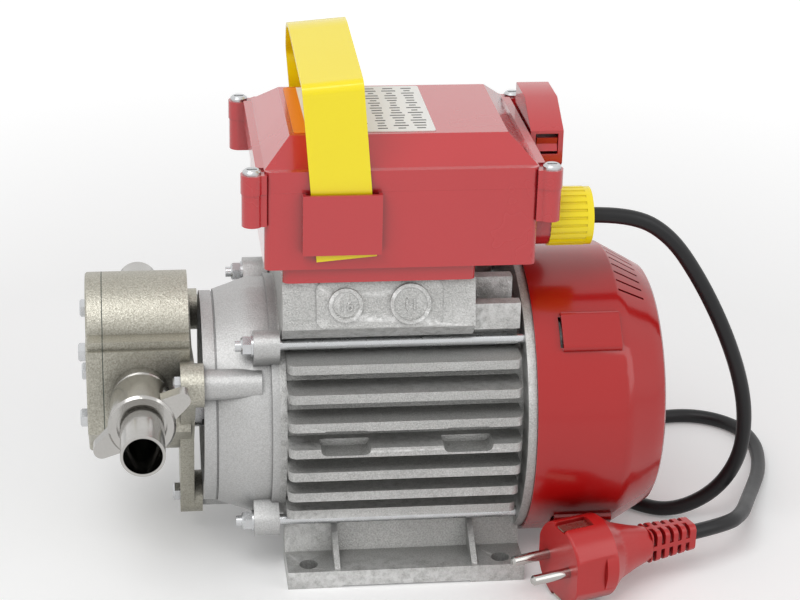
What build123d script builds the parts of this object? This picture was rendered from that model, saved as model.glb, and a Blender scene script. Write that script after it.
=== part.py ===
from build123d import *
import os
from math import acos, atan2, cos, degrees, pi, radians, sin, sqrt, tan

# Electric gear pump, millimetres. +X runs along the shafts from the pump to the fan,
# +Z is up from the feet, and the origin is the centre of the four foot holes at floor level.

# Clearances
fit = 0.05  # running fits, radial
slip = 0.15  # loose fits between fixed pieces
air = 0.35  # gap between curved faces that move past each other

# Motor frame
shaft_height = 71.0
foot_spacing_x = 90.0
foot_spacing_y = 112.0
foot_hole_r = 4.3
foot_half_y = 63.4
foot_thickness = 8.7
foot_relief = 1.0
foot_relief_length = 60.0
foot_wall_y = 43.5
foot_inner_y = 36.0
foot_rib_x = 32.0
foot_rib_thickness = 2.6
frame_left = -58.0
frame_length = 115.5
frame_right = frame_left + frame_length
frame_bore_r = 50.0
frame_wall = 4.0
frame_ring_r = 57.0
frame_ring_length = 3.0
cover_ring_r = 67.5
cover_ring_length = 4.0
fin_tip_r = 69.0
fin_pitch = 12.1
fin_lift = 1.2
fin_thickness = 4.4
fin_count = 7
fin_gap_right = 2.5
fin_round = 3.5
fin_top_flat_y = 58.0
notch_centres_x = (-29.5, 26.0)
notch_length = 22.6
notch_height = 11.5
notch_floor_y = 58.0
rod_offset = 44.4
rod_r = 2.5
rod_hole_r = rod_r + 0.25

# Terminal seat on top of the frame
seat_x0 = frame_left + 1.0
seat_length = 86.5
seat_top_z = shaft_height + 77.0
seat_top_half_y = 48.5
seat_belly_half_y = 54.0
seat_belly_z = shaft_height + 55.5
seat_under_half_y = 47.0
seat_under_z = shaft_height + 48.5
seat_well_half_y = 34.0
seat_well_depth = 20.0
seat_wire_hole_r = 8.0
seat_bars = ((44.0, 50.5, 12.5, 6.5), (28.0, 41.0, 28.5, 8.0))  # across, lift, height, short of the end
bar_width = 6.0
bar_root_inset = 6.5
bar_root_height = 16.0
box_screw_r = 1.95
box_screw_hole_r = 2.1
box_screw_head_r = 3.8
box_screw_head_height = 2.4
box_screw_depth = 12.0
panel_x0 = -42.0
panel_length = 56.5
panel_proud = 0.8
gland_boss_height = 2.6
gland_bosses = ((-29.0, 8.0), (0.0, 9.5))  # place along X and radius
gland_boss_z = seat_belly_z + 11.0

# Stator, rotor and shaft
stator_half_length = 35.0
stator_bore_r = 31.0
stator_slots = 24
slot_width = 3.4
slot_bottom_r = 43.0
slot_top_r = 32.6
overhang = 14.0
rotor_gap = 0.4
end_ring_length = 7.0
shaft_core_r = 9.0
bearing_bore_r = 7.5
bearing_outer_r = 17.5
bearing_width = 11.0
ball_r = 2.9
ball_count = 8
rear_bearing_x = frame_right + 2.5
drive_end_r = 7.0
fan_end_r = 6.5

# Drive-end shield
shield_length = 34.0
shield_front = frame_left - shield_length
front_bearing_x = shield_front + 14.5
shield_ring_r = 49.5
shield_ring_length = 6.4
shield_flange_r = 55.4
shield_flange_length = 12.0
shield_ridge_r = 57.0
shield_ridge_length = 3.5
shield_wall = 5.0
shield_web = 4.5
lug_r = 7.0
lug_length = 11.7
spigot_length = 4.0
flange_bolt_circle_r = 51.0
flange_boss_r = 7.0
flange_boss_length = 26.0

# Fan end
rear_disc_r = 66.0
rear_disc_length = 6.5
rear_boss_length = 6.5
rear_hub_r = 23.0
cover_r = 69.0
cover_wall = 2.4
cover_x0 = frame_right + 0.1
cover_straight = 40.4
cover_length = 62.3
cover_end_r = 56.4
cover_vent_r = (16.0, 23.0, 30.0, 37.0, 44.0)
cover_vent_width = 3.6
cover_vent_arc = 35.0
cone_slits = 11
slit_pitch = 5.2  # degrees
slit_width = 1.1
slit_length = 13.0
bump_x0 = cover_x0 + 12.4
bump_length = 27.0
bump_width = 19.0
bump_r = 71.5
fan_x0 = frame_right + 26.5
fan_length = 18.0
fan_r = 52.0
fan_blades = 9
fan_disc = 2.5
fan_hub_r = 12.0
shaft_end_x = fan_x0 + 23.0

# Hex hardware, M5
bolt_r = 2.45
bolt_hole_r = 2.6
hex_flats = 8.0
head_height = 3.4
nut_height = 4.6
washer_r = 5.0
washer_thickness = 1.0
rod_stickout = 2.6

# Pump
flange_lug_r = 10.0
flange_lug_thickness = 10.5
flange_plate_thickness = 6.5
flange_plate_rear = shield_front - (flange_lug_thickness - flange_plate_thickness)
body_length = 39.0
body_rear = flange_plate_rear - 1.8
body_front = body_rear - body_length
gasket_thickness = 0.4
pump_cover_thickness = 7.4
pump_block_half_y = 35.8
pump_block_height = 41.0
pump_wall = 3.4
pump_shelf = 3.6
gear_module = 2.5
gear_teeth = 15
gear_addendum = 0.88
gear_dedendum = 1.2
gear_backlash = 0.25
gear_pressure_angle = 20.0
gear_centres = gear_module * gear_teeth
gear_tip_r = gear_module * (gear_teeth / 2 + gear_addendum)
chamber_r = gear_tip_r + air
chamber_depth = 28.0
dome_r = chamber_r + pump_wall
driven_height = shaft_height + gear_centres
port_height = shaft_height + gear_centres / 2
port_x = body_front + 16.6
port_bore_r = 7.5
gear_side_gap = 0.08
pump_shaft_r = 5.0
bush_wall = 2.0
bush_length = 5.2
bush_r = pump_shaft_r + fit + bush_wall
seal_r = 9.0
seal_length = 4.6
cover_bolt_y = 25.6
cover_bolt_z = 16.5
cover_bolt_length = 22.0

# Ports: threaded nipple, sealing ring, hose tail and wing nut
thread_r = 12.6
nipple_base_r = 12.9
nipple_base_length = 5.0
nipple_end_y = 60.0
nipple_root = 6.0
ring_seal_thickness = 2.0
tail_collar_length = 6.5
tail_r = 9.8
tail_bore_r = 8.5
tail_end_y = 99.8
nut_start_y = 46.0
nut_end_y = 71.7
nut_lip = 2.8
nut_lip_bore_r = 11.1
nut_outer_r = 15.05
nut_back_r = 14.2
wing_reach = 25.0
wing_width = 7.6
wing_thickness = 7.0
wing_angle = 33.0

# Coupling
coupling_r = 15.0
coupling_base = 3.6
coupling_insert = 4.2
coupling_jaw_angle = 48.0
coupling_bore_r = 8.6
coupling_gap = 0.2

# Control box
box_x0 = frame_left - 7.2
box_length = 120.6
box_x1 = box_x0 + box_length
box_half_y = 54.2
box_floor_z = seat_top_z + 7.5
box_split_z = box_floor_z + 35.8
box_wall = 2.5
box_boss_r = 5.5
skirt_half_y = 51.5
lid_rim_z = box_split_z + 9.7
lid_top_z = lid_rim_z + 10.4
lid_top_x0 = box_x0 + 12.2
lid_top_length = 96.8
lid_top_half_y = 35.4
lid_slope_half_y = 50.6
ledge_reach = 3.4
ledge_half_y = 47.5
lug_xs = (box_x0 - 5.3, box_x1 + 5.5)
lug_y = 52.4
lid_lug_r = 5.0
base_lug_r = 4.6
base_lug_length = 15.0
lid_screw_head_r = 4.6
lid_screw_head_height = 2.4
lid_screw_r = 1.9
pocket_x0 = box_x0 + 16.4
pocket_width = 34.8
pocket_proud = 4.4
pocket_wall = 1.6
pocket_bottom_z = box_floor_z + 8.1
groove = 1.2
terminal_place = (box_x0 + 40.2, -26.0)
terminal_length = 46.0
terminal_width = 20.0
terminal_height = 12.0
terminal_pitch = 14.0
stud_height = 5.0
capacitor_x0 = box_x0 + 17.2
capacitor_y = 20.0
capacitor_r = 15.0
capacitor_length = 68.0
label_x0 = lid_top_x0 + 2.0
label_length = 63.0
label_half_y = 33.0
label_thickness = 0.4

# Strap handle: the line of the band seen from the pump end
strap_width = 26.6
strap_thickness = 1.9
strap_lean = 5.0  # degrees, towards the pump
strap_centre_x = pocket_x0 + pocket_width / 2 - 0.5
strap_tail_z = box_floor_z + 5.5
strap_shoulder_z = lid_top_z + 28.6
strap_crown_z = lid_top_z + 37.6
strap_crown_y = 26.0
strap_back_z = lid_top_z + 14.6

# Cable gland
gland_y = -30.0
gland_z = box_floor_z + 13.7
spout_r = 12.6
spout_length = 8.5
spout_thread_r = 9.4
spout_thread_length = 13.0
gland_nut_r = 13.4
gland_nut_length = 19.5
gland_bore_r = 4.4
cord_r = 3.65

# Reversing switch
hood_x0 = box_x1 + 4.2
hood_length = 15.4
hood_top_z = lid_top_z + 0.6
hood_top_y0 = 13.0
hood_rear_y = 36.0
hood_front_y = -6.0
hood_brow_z = lid_rim_z + 0.6
hood_bottom_z = box_floor_z + 16.5
rocker_z = box_split_z + 3.9
rocker_pivot_y = 0.0
rocker_half_height = 3.2
rocker_reach = 6.6
rocker_back = 2.0
rocker_width = 9.6
rocker_pin_r = 1.3
rocker_pocket_half = 4.8

# Plug
plug_face = (67.0, -83.0)
plug_turn = 19.0  # degrees from +X
plug_r = 19.4
plug_straight = 21.0
plug_neck_r = 8.2
plug_length = 46.0
plug_axis_z = plug_r + 0.2
pin_r = 2.4
pin_root_r = 2.1
pin_length = 19.0
pin_spacing = 19.0
relief_length = 25.0
relief_height = 16.0
relief_width = 14.0
relief_end_height = 13.5
relief_end_width = 12.0
relief_core_r = 5.2
relief_spine = 2.2
relief_slots = 5
relief_slot_pitch = 4.6
relief_slot_width = 1.9

# Mains lead: the stretch from the gland to the coil, and from the coil to the plug
coil_centre = (58.0, 120.0)
coil_mean_r = 40.0
coil_half_width = 7.6
coil_base_z = 1.2
coil_height = 14.8
tie_width = 9.0
tie_thickness = 0.9
floor_z = cord_r + 0.1
coil_top_row_z = coil_base_z + coil_height - cord_r - 0.1
gland_exit_x = box_x1 + spout_length + gland_nut_length


def hanging(reach, aside, share):
    """Point of the lead where it hangs from the gland: share of the gland's height above the floor."""
    return (gland_exit_x + reach, gland_y + aside, floor_z + share * (gland_z - floor_z))


lead_out_points = [
    hanging(0.0, 0.0, 1.0),
    hanging(19.6, 0.0, 1.0),
    hanging(38.6, 1.0, 0.9353),
    hanging(54.6, 2.5, 0.7993),
    hanging(70.1, 5.0, 0.6241),
    hanging(81.1, 8.0, 0.4548),
    hanging(85.9, 11.2, 0.3098),
    hanging(84.6, 14.0, 0.1768),
    hanging(73.9, 17.0, 0.065),
    (138.7, -9.0, floor_z),
    (122.0, 0.0, floor_z),
    (111.5, 17.5, floor_z),
    (108.0, 38.5, floor_z),
    (98.5, 58.0, floor_z),
    (81.0, 71.0, floor_z),
    (61.0, 76.4, floor_z),
    (46.0, 77.6, floor_z),
]
plug_along = (cos(radians(plug_turn)), sin(radians(plug_turn)))
plug_back = plug_length + relief_length


def on_plug(distance, height=plug_axis_z):
    return (plug_face[0] + distance * plug_along[0], plug_face[1] + distance * plug_along[1], height)


lead_in_points = [
    (100.5, 134.0, coil_top_row_z),
    (102.3, 119.0, coil_top_row_z - 1.6),
    (111.6, 104.0, 7.0),
    (128.3, 95.5, floor_z),
    (150.5, 95.0, floor_z),
    (171.0, 98.0, floor_z),
    (186.5, 92.0, floor_z),
    (196.8, 80.0, floor_z),
    (200.3, 64.0, floor_z),
    (198.2, 46.0, floor_z),
    (192.5, 26.5, 4.3),
    (184.0, 7.0, 6.5),
    (175.5, -13.0, 10.0),
    (167.0, -34.0, 14.5),
    on_plug(plug_back + 21.5),
    on_plug(plug_back),
]


def on_shaft(x, z=shaft_height):
    """Plane across the shafts at station x: its own x is +Y and its own y is +Z."""
    return Plane(origin=(x, 0, z), x_dir=(0, 1, 0), z_dir=(1, 0, 0))


def along_shaft(z=shaft_height):
    """Plane that holds the axis: its own x is +X and its own y is the radius."""
    return Plane(origin=(0, 0, z), x_dir=(1, 0, 0), z_dir=(0, -1, 0))


def shaft_axis(z=shaft_height):
    return Axis((0, 0, z), (1, 0, 0))


def save(piece, name):
    piece.label = name
    export_step(piece, "parts/" + name + ".step")


def turned(points, z=shaft_height):
    """Solid of revolution about a shaft axis from (x, radius) points."""
    with BuildPart() as piece:
        with BuildSketch(along_shaft(z)):
            with BuildLine():
                Polyline(points, close=True)
            make_face()
        revolve(axis=shaft_axis(z))
    return piece.part


def corner_places(offset):
    return [(offset, offset), (-offset, offset), (-offset, -offset), (offset, -offset)]


def circle_places(radius, angles):
    return [(radius * cos(radians(a)), radius * sin(radians(a))) for a in angles]


flange_angles = (30, 150, 270)

os.makedirs("parts", exist_ok=True)

# Motor frame: barrel, rings, fins, feet and terminal seat in one casting
barrel_r = frame_bore_r + frame_wall
fin_left = frame_left + frame_ring_length
fin_right = frame_right - cover_ring_length - fin_gap_right
half_fins = fin_count // 2

with BuildPart() as fins:
    with BuildSketch(on_shaft(fin_left)):
        for k in range(-half_fins, half_fins + 1):
            height = fin_lift + fin_pitch * k
            tip = sqrt(fin_tip_r**2 - (abs(height) + fin_thickness / 2) ** 2)
            if k == half_fins:
                tip = fin_top_flat_y
            with Locations((0, height)):
                Rectangle(2 * tip, fin_thickness)
    extrude(amount=fin_right - fin_left)
    tips = fins.edges().filter_by(Axis.Z).filter_by(lambda e: abs(e.center().Y) > barrel_r - 8)
    fillet(tips, fin_round)

foot_profile = [
    (foot_half_y, 0),
    (foot_half_y, foot_thickness),
    (foot_wall_y, foot_thickness),
    (foot_wall_y - 4.5, shaft_height - 47.0),
    (foot_wall_y - 5.5, shaft_height - 37.3),
    (foot_inner_y - 6.0, shaft_height - 43.8),
    (foot_inner_y, 0),
]

seat_profile = [
    (-seat_top_half_y, seat_top_z),
    (-seat_belly_half_y, seat_belly_z),
    (-seat_under_half_y, seat_under_z),
    (-rod_offset + rod_r + 0.7, seat_under_z),
    (-rod_offset + rod_r + 4.0, seat_under_z - 8.0),
    (rod_offset - rod_r - 4.0, seat_under_z - 8.0),
    (rod_offset - rod_r - 0.7, seat_under_z),
    (seat_under_half_y, seat_under_z),
    (seat_belly_half_y, seat_belly_z),
    (seat_top_half_y, seat_top_z),
]

seat_tilt = degrees(atan2(seat_belly_half_y - seat_top_half_y, seat_top_z - seat_belly_z))
seat_wall_length = sqrt((seat_belly_half_y - seat_top_half_y) ** 2 + (seat_top_z - seat_belly_z) ** 2)


def seat_wall(side):
    """Plane on the seat's side wall with its own y up the wall; side is -1 near, +1 far."""
    y = side * seat_belly_half_y
    normal = (0, side * cos(radians(seat_tilt)), sin(radians(seat_tilt)))
    return Plane(origin=(0, y, seat_belly_z), x_dir=(-side, 0, 0), z_dir=normal)


with BuildPart() as motor_frame:
    with BuildSketch(on_shaft(frame_left)):
        Circle(barrel_r)
    extrude(amount=frame_length)
    with BuildSketch(on_shaft(frame_left)):
        Circle(frame_ring_r)
    extrude(amount=frame_ring_length)
    with BuildSketch(on_shaft(frame_right)):
        Circle(cover_ring_r)
    extrude(amount=-cover_ring_length)
    add(fins.part)
    # feet, one each side
    with BuildSketch(on_shaft(frame_left + frame_ring_length, 0)):
        with BuildLine():
            Polyline(foot_profile, close=True)
        make_face()
        mirror(about=Plane.YZ)
    extrude(amount=frame_length - frame_ring_length - 2.0)
    for side in (-1, 1):
        for x in (-foot_rib_x, foot_rib_x):
            with BuildSketch(on_shaft(x - foot_rib_thickness / 2, 0)):
                with BuildLine():
                    Polyline(
                        [
                            (side * (foot_half_y - 1), foot_thickness - 1),
                            (side * (foot_half_y - 1), foot_thickness + 0.6),
                            (side * (foot_wall_y - 3), foot_thickness + 13.5),
                            (side * (foot_wall_y - 6), foot_thickness - 1),
                        ],
                        close=True,
                    )
                make_face()
            extrude(amount=foot_rib_thickness)
    # terminal seat
    with BuildSketch(on_shaft(seat_x0, 0)):
        with BuildLine():
            Polyline(seat_profile, close=True)
        make_face()
    extrude(amount=seat_length)
    for side in (-1, 1):
        with BuildSketch(seat_wall(side)):
            with Locations((-side * (panel_x0 + panel_length / 2), seat_wall_length / 2)):
                RectangleRounded(panel_length, seat_wall_length - 1.0, 4.0)
        extrude(amount=panel_proud)
        for boss_x, boss_r in gland_bosses:
            with BuildSketch(seat_wall(side)):
                with Locations((-side * boss_x, gland_boss_z - seat_belly_z)):
                    Circle(boss_r)
            extrude(amount=gland_boss_height, taper=8)
            with BuildSketch(seat_wall(side).offset(gland_boss_height)):
                with Locations((-side * boss_x, gland_boss_z - seat_belly_z)):
                    Circle(boss_r - 2.0)
            extrude(amount=-0.6, mode=Mode.SUBTRACT)
    # two short cooling bars beside the seat, towards the fan
    for bar_y, bar_lift, bar_height, bar_short in seat_bars:
        for side in (-1, 1):
            with BuildSketch(on_shaft(seat_x0 + seat_length - 1)):
                with Locations((side * bar_y, bar_lift + bar_height / 2)):
                    Rectangle(bar_width, bar_height)
                with Locations((side * (bar_y - bar_root_inset), bar_lift - 2.0)):
                    Rectangle(bar_width, bar_root_height)
            extrude(amount=frame_right - bar_short - seat_x0 - seat_length + 1)
    # bore, wire well, notches and holes
    with BuildSketch(on_shaft(frame_left - 1)):
        Circle(frame_bore_r)
    extrude(amount=frame_length + 2, mode=Mode.SUBTRACT)
    with BuildSketch(Plane.XY.offset(seat_top_z)):
        with Locations((seat_x0 + seat_length / 2, 0)):
            RectangleRounded(seat_length - 26, 2 * seat_well_half_y, 5)
    extrude(amount=-seat_well_depth, mode=Mode.SUBTRACT)
    with BuildSketch(Plane.XY.offset(seat_top_z)):
        with Locations((seat_x0 + seat_length / 2, 0)):
            Circle(seat_wire_hole_r)
    extrude(amount=-(seat_top_z - shaft_height), mode=Mode.SUBTRACT)
    for side in (-1, 1):
        with BuildSketch(Plane.XZ.offset(-side * (fin_tip_r + 2))):
            for x in notch_centres_x:
                with Locations((x, shaft_height + notch_height / 2)):
                    RectangleRounded(notch_length, notch_height, 3)
        extrude(amount=side * (fin_tip_r + 2 - notch_floor_y), mode=Mode.SUBTRACT)
    with BuildSketch(Plane.XY):
        with GridLocations(foot_spacing_x, foot_spacing_y, 2, 2):
            Circle(foot_hole_r)
    extrude(amount=foot_thickness + 4, mode=Mode.SUBTRACT)
    with BuildSketch(Plane.XY):
        Rectangle(foot_relief_length, 2 * foot_half_y + 2)
    extrude(amount=foot_relief, mode=Mode.SUBTRACT)
    with BuildSketch(on_shaft(frame_right - cover_ring_length)):
        with Locations(*corner_places(rod_offset)):
            Circle(rod_hole_r)
    extrude(amount=cover_ring_length, mode=Mode.SUBTRACT)
    # screw holes for the box
    box_screw_xs = (seat_x0 + 7, seat_x0 + seat_length - 7)
    box_screw_y = seat_well_half_y + 8
    with BuildSketch(Plane.XY.offset(seat_top_z)):
        with Locations(*[(x, s * box_screw_y) for x in box_screw_xs for s in (-1, 1)]):
            Circle(box_screw_hole_r)
    extrude(amount=-box_screw_depth, mode=Mode.SUBTRACT)
save(motor_frame.part, "motor_frame")

# Stator core with closed slots, and the winding that fills them and loops out at each end
with BuildPart() as stator_core:
    with BuildSketch(on_shaft(-stator_half_length)):
        Circle(frame_bore_r - fit)
        Circle(stator_bore_r, mode=Mode.SUBTRACT)
        with PolarLocations(0, stator_slots):
            with Locations(((slot_bottom_r + slot_top_r) / 2, 0)):
                Rectangle(slot_bottom_r - slot_top_r, slot_width, mode=Mode.SUBTRACT)
    extrude(amount=2 * stator_half_length)
save(stator_core.part, "stator_core")

with BuildPart() as stator_winding:
    with BuildSketch(on_shaft(-stator_half_length - slip)):
        with PolarLocations(0, stator_slots):
            with Locations(((slot_bottom_r + slot_top_r) / 2, 0)):
                Rectangle(slot_bottom_r - slot_top_r - 2 * slip, slot_width - 2 * slip)
    extrude(amount=2 * (stator_half_length + slip))
    for x0 in (-stator_half_length - slip - overhang, stator_half_length + slip):
        with BuildSketch(on_shaft(x0)):
            Circle(slot_bottom_r + 2)
            Circle(slot_top_r + 0.6, mode=Mode.SUBTRACT)
        extrude(amount=overhang)
save(stator_winding.part, "stator_winding")

rotor_r = stator_bore_r - rotor_gap
save(
    turned(
        [
            (-stator_half_length - end_ring_length, shaft_core_r),
            (-stator_half_length - end_ring_length, rotor_r - 9),
            (-stator_half_length - end_ring_length, rotor_r - 1),
            (-stator_half_length, rotor_r - 1),
            (-stator_half_length, rotor_r),
            (stator_half_length, rotor_r),
            (stator_half_length, rotor_r - 1),
            (stator_half_length + end_ring_length, rotor_r - 1),
            (stator_half_length + end_ring_length, shaft_core_r),
        ]
    ),
    "rotor_core",
)

# Motor shaft, with the coupling at the pump end and the fan at the other
coupling_face = flange_plate_rear + 0.5
insert_x0 = coupling_face + coupling_base + coupling_gap
motor_half_x0 = insert_x0 + coupling_insert + coupling_gap
motor_shaft_x0 = motor_half_x0
front_bearing_end = front_bearing_x + bearing_width
rear_bearing_end = rear_bearing_x + bearing_width
fan_clip_x = fan_x0 + fan_length + 0.1
with BuildPart() as motor_shaft:
    add(
        turned(
            [
                (motor_shaft_x0, 0),
                (motor_shaft_x0, drive_end_r),
                (front_bearing_x, drive_end_r),
                (front_bearing_x, bearing_bore_r),
                (front_bearing_end, bearing_bore_r),
                (front_bearing_end, shaft_core_r),
                (rear_bearing_x, shaft_core_r),
                (rear_bearing_x, bearing_bore_r),
                (rear_bearing_end, bearing_bore_r),
                (rear_bearing_end, fan_end_r),
                (fan_clip_x, fan_end_r),
                (fan_clip_x, fan_end_r - 0.7),
                (fan_clip_x + 1.2, fan_end_r - 0.7),
                (fan_clip_x + 1.2, fan_end_r),
                (shaft_end_x, fan_end_r),
                (shaft_end_x, 0),
            ]
        )
    )
    with BuildSketch(on_shaft(motor_shaft_x0)):
        with Locations((0, drive_end_r)):
            Rectangle(4, 4)
    extrude(amount=5, mode=Mode.SUBTRACT)
save(motor_shaft.part, "motor_shaft")

# Ball bearings: identical rings and balls share a node
ball_circle_r = (bearing_bore_r + bearing_outer_r) / 2


def bearing_rings(inner):
    with BuildPart() as rings:
        for x0 in (front_bearing_x, rear_bearing_x):
            near = bearing_bore_r if inner else ball_circle_r + ball_r - 0.9
            far = ball_circle_r - ball_r + 0.9 if inner else bearing_outer_r
            with BuildSketch(on_shaft(x0)):
                Circle(far)
                Circle(near, mode=Mode.SUBTRACT)
            extrude(amount=bearing_width)
            with BuildSketch(along_shaft()):
                with Locations((x0 + bearing_width / 2, ball_circle_r)):
                    Circle(ball_r + fit)
            revolve(axis=shaft_axis(), mode=Mode.SUBTRACT)
    return rings.part


save(bearing_rings(False), "bearing_outer_rings")
save(bearing_rings(True), "bearing_inner_rings")

with BuildPart() as bearing_balls:
    for x0 in (front_bearing_x, rear_bearing_x):
        with Locations(on_shaft(x0 + bearing_width / 2)):
            with PolarLocations(ball_circle_r, ball_count):
                Sphere(ball_r)
save(bearing_balls.part, "bearing_balls")

# Drive-end shield: ring, cone, flange, bearing hub, four lugs and three flange bosses
hub_end = front_bearing_x + bearing_width
web_front = front_bearing_x - shield_web
cone_start = shield_front + shield_ring_length
flange_start = frame_left - shield_flange_length
ridge_start = frame_left - shield_ridge_length
lug_root_r = 1.2 * rod_offset
with BuildPart() as front_shield:
    add(
        turned(
            [
                (shield_front, shield_ring_r - 7),
                (shield_front, shield_ring_r),
                (cone_start - 1.0, shield_ring_r),
                (cone_start - 1.0, shield_ring_r - 0.6),
                (cone_start, shield_ring_r - 0.6),
                (cone_start, shield_ring_r + 0.6),
                (flange_start, shield_flange_r),
                (ridge_start, shield_flange_r),
                (ridge_start, shield_ridge_r),
                (frame_left, shield_ridge_r),
                (frame_left, frame_bore_r - fit),
                (frame_left + spigot_length, frame_bore_r - fit),
                (frame_left + spigot_length, frame_bore_r - shield_wall),
                (flange_start + 4, frame_bore_r - shield_wall),
                (front_bearing_x + 2, shield_ring_r - 7),
                (front_bearing_x, bearing_outer_r + 7),
                (hub_end, bearing_outer_r + 5),
                (hub_end, bearing_outer_r + fit),
                (front_bearing_x, bearing_outer_r + fit),
                (front_bearing_x, drive_end_r + 4.5),
                (web_front, drive_end_r + 4.5),
                (web_front, shield_ring_r - 7),
            ]
        )
    )
    with BuildSketch(on_shaft(frame_left)):
        with Locations(*corner_places(rod_offset)):
            Circle(lug_r)
        for a in (45, 135, 225, 315):
            with Locations(Location((lug_root_r * cos(radians(a)), lug_root_r * sin(radians(a)), 0), a)):
                Rectangle(18, 2 * lug_r)
        Circle(shield_flange_r - 3, mode=Mode.SUBTRACT)
    extrude(amount=-lug_length)
    with BuildSketch(on_shaft(shield_front)):
        with Locations(*circle_places(flange_bolt_circle_r, flange_angles)):
            Circle(flange_boss_r)
    extrude(amount=flange_boss_length)
    with BuildSketch(on_shaft(web_front)):
        Circle(shield_ring_r - 7)
    extrude(amount=shield_front - web_front, mode=Mode.SUBTRACT)
    with BuildSketch(on_shaft(front_bearing_x + 2)):
        Circle(shield_ring_r - 7)
        Circle(bearing_outer_r + 7, mode=Mode.SUBTRACT)
    extrude(amount=flange_start - front_bearing_x, mode=Mode.SUBTRACT)
    with BuildSketch(on_shaft(frame_left)):
        with Locations(*corner_places(rod_offset)):
            Circle(rod_hole_r)
    extrude(amount=-lug_length, mode=Mode.SUBTRACT)
    with BuildSketch(on_shaft(shield_front)):
        with Locations(*circle_places(flange_bolt_circle_r, flange_angles)):
            Circle(bolt_hole_r)
    extrude(amount=14, mode=Mode.SUBTRACT)
save(front_shield.part, "front_shield")

# Fan-end shield, inside the cover
rear_face = frame_right + rear_disc_length
boss_face = rear_face + rear_boss_length
with BuildPart() as rear_shield:
    add(
        turned(
            [
                (frame_right, rear_disc_r),
                (rear_face, rear_disc_r),
                (rear_face, rear_hub_r),
                (rear_bearing_end + 2.5, rear_hub_r),
                (rear_bearing_end + 2.5, fan_end_r + 3),
                (rear_bearing_end + 0.8, fan_end_r + 3),
                (rear_bearing_end + 0.8, bearing_outer_r + fit),
                (rear_bearing_x, bearing_outer_r + fit),
                (rear_bearing_x, rear_hub_r - 1),
                (frame_right, rear_hub_r),
                (frame_right, frame_bore_r - shield_wall),
                (frame_right - spigot_length, frame_bore_r - shield_wall),
                (frame_right - spigot_length, frame_bore_r - fit),
                (frame_right, frame_bore_r - fit),
            ]
        )
    )
    with BuildSketch(on_shaft(rear_face)):
        with Locations(*corner_places(rod_offset)):
            Circle(lug_r)
        Circle(rear_disc_r, mode=Mode.INTERSECT)
    extrude(amount=rear_boss_length)
    with BuildSketch(on_shaft(frame_right)):
        with Locations(*corner_places(rod_offset)):
            Circle(rod_hole_r)
    extrude(amount=rear_disc_length + rear_boss_length, mode=Mode.SUBTRACT)
save(rear_shield.part, "rear_shield")

save(
    turned(
        [
            (rear_bearing_end, bearing_outer_r - 3.0),
            (rear_bearing_end, bearing_outer_r - 0.5),
            (rear_bearing_end + 0.8, bearing_outer_r - 0.5),
            (rear_bearing_end + 0.8, bearing_outer_r - 3.0),
        ]
    ),
    "wave_washer",
)

# Tie rods with a nut and a washer at the pump end and a nut at the fan end
lug_face = frame_left - lug_length
rod_start = lug_face - washer_thickness - nut_height - rod_stickout
rod_end = boss_face + nut_height + rod_stickout
with BuildPart() as tie_rods:
    with BuildSketch(on_shaft(rod_start)):
        with Locations(*corner_places(rod_offset)):
            Circle(rod_r)
    extrude(amount=rod_end - rod_start)
save(tie_rods.part, "tie_rods")

with BuildPart() as rod_washers:
    with BuildSketch(on_shaft(lug_face)):
        with Locations(*corner_places(rod_offset)):
            Circle(washer_r)
            Circle(rod_r + fit, mode=Mode.SUBTRACT)
    extrude(amount=-washer_thickness)
save(rod_washers.part, "tie_rod_washers")


def rod_nuts(face, length):
    with BuildPart() as nuts:
        with BuildSketch(on_shaft(face)):
            with Locations(*corner_places(rod_offset)):
                RegularPolygon(hex_flats / 2, 6, major_radius=False)
                Circle(rod_r + fit, mode=Mode.SUBTRACT)
        extrude(amount=length)
    return nuts.part


front_nuts = rod_nuts(lug_face - washer_thickness, -nut_height)
rear_nuts = rod_nuts(boss_face, nut_height)
save(Compound(children=[*front_nuts.solids(), *rear_nuts.solids()]), "tie_rod_nuts")

# Fan with flat blades, and its clip
with BuildPart() as fan:
    with BuildSketch(on_shaft(fan_x0)):
        Circle(fan_r)
    extrude(amount=fan_disc)
    with BuildSketch(on_shaft(fan_x0)):
        Circle(fan_hub_r)
        with PolarLocations((fan_r + fan_hub_r) / 2 - 0.5, fan_blades):
            Rectangle(fan_r - fan_hub_r + 1, 2.2)
    extrude(amount=fan_length)
    with BuildSketch(on_shaft(fan_x0)):
        Circle(fan_end_r + fit)
    extrude(amount=fan_length, mode=Mode.SUBTRACT)
save(fan.part, "cooling_fan")

save(
    turned(
        [
            (fan_clip_x + 0.1, fan_end_r - 0.6),
            (fan_clip_x + 0.1, fan_end_r + 2.4),
            (fan_clip_x + 1.1, fan_end_r + 2.4),
            (fan_clip_x + 1.1, fan_end_r - 0.6),
        ]
    ),
    "fan_clip",
)

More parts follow.
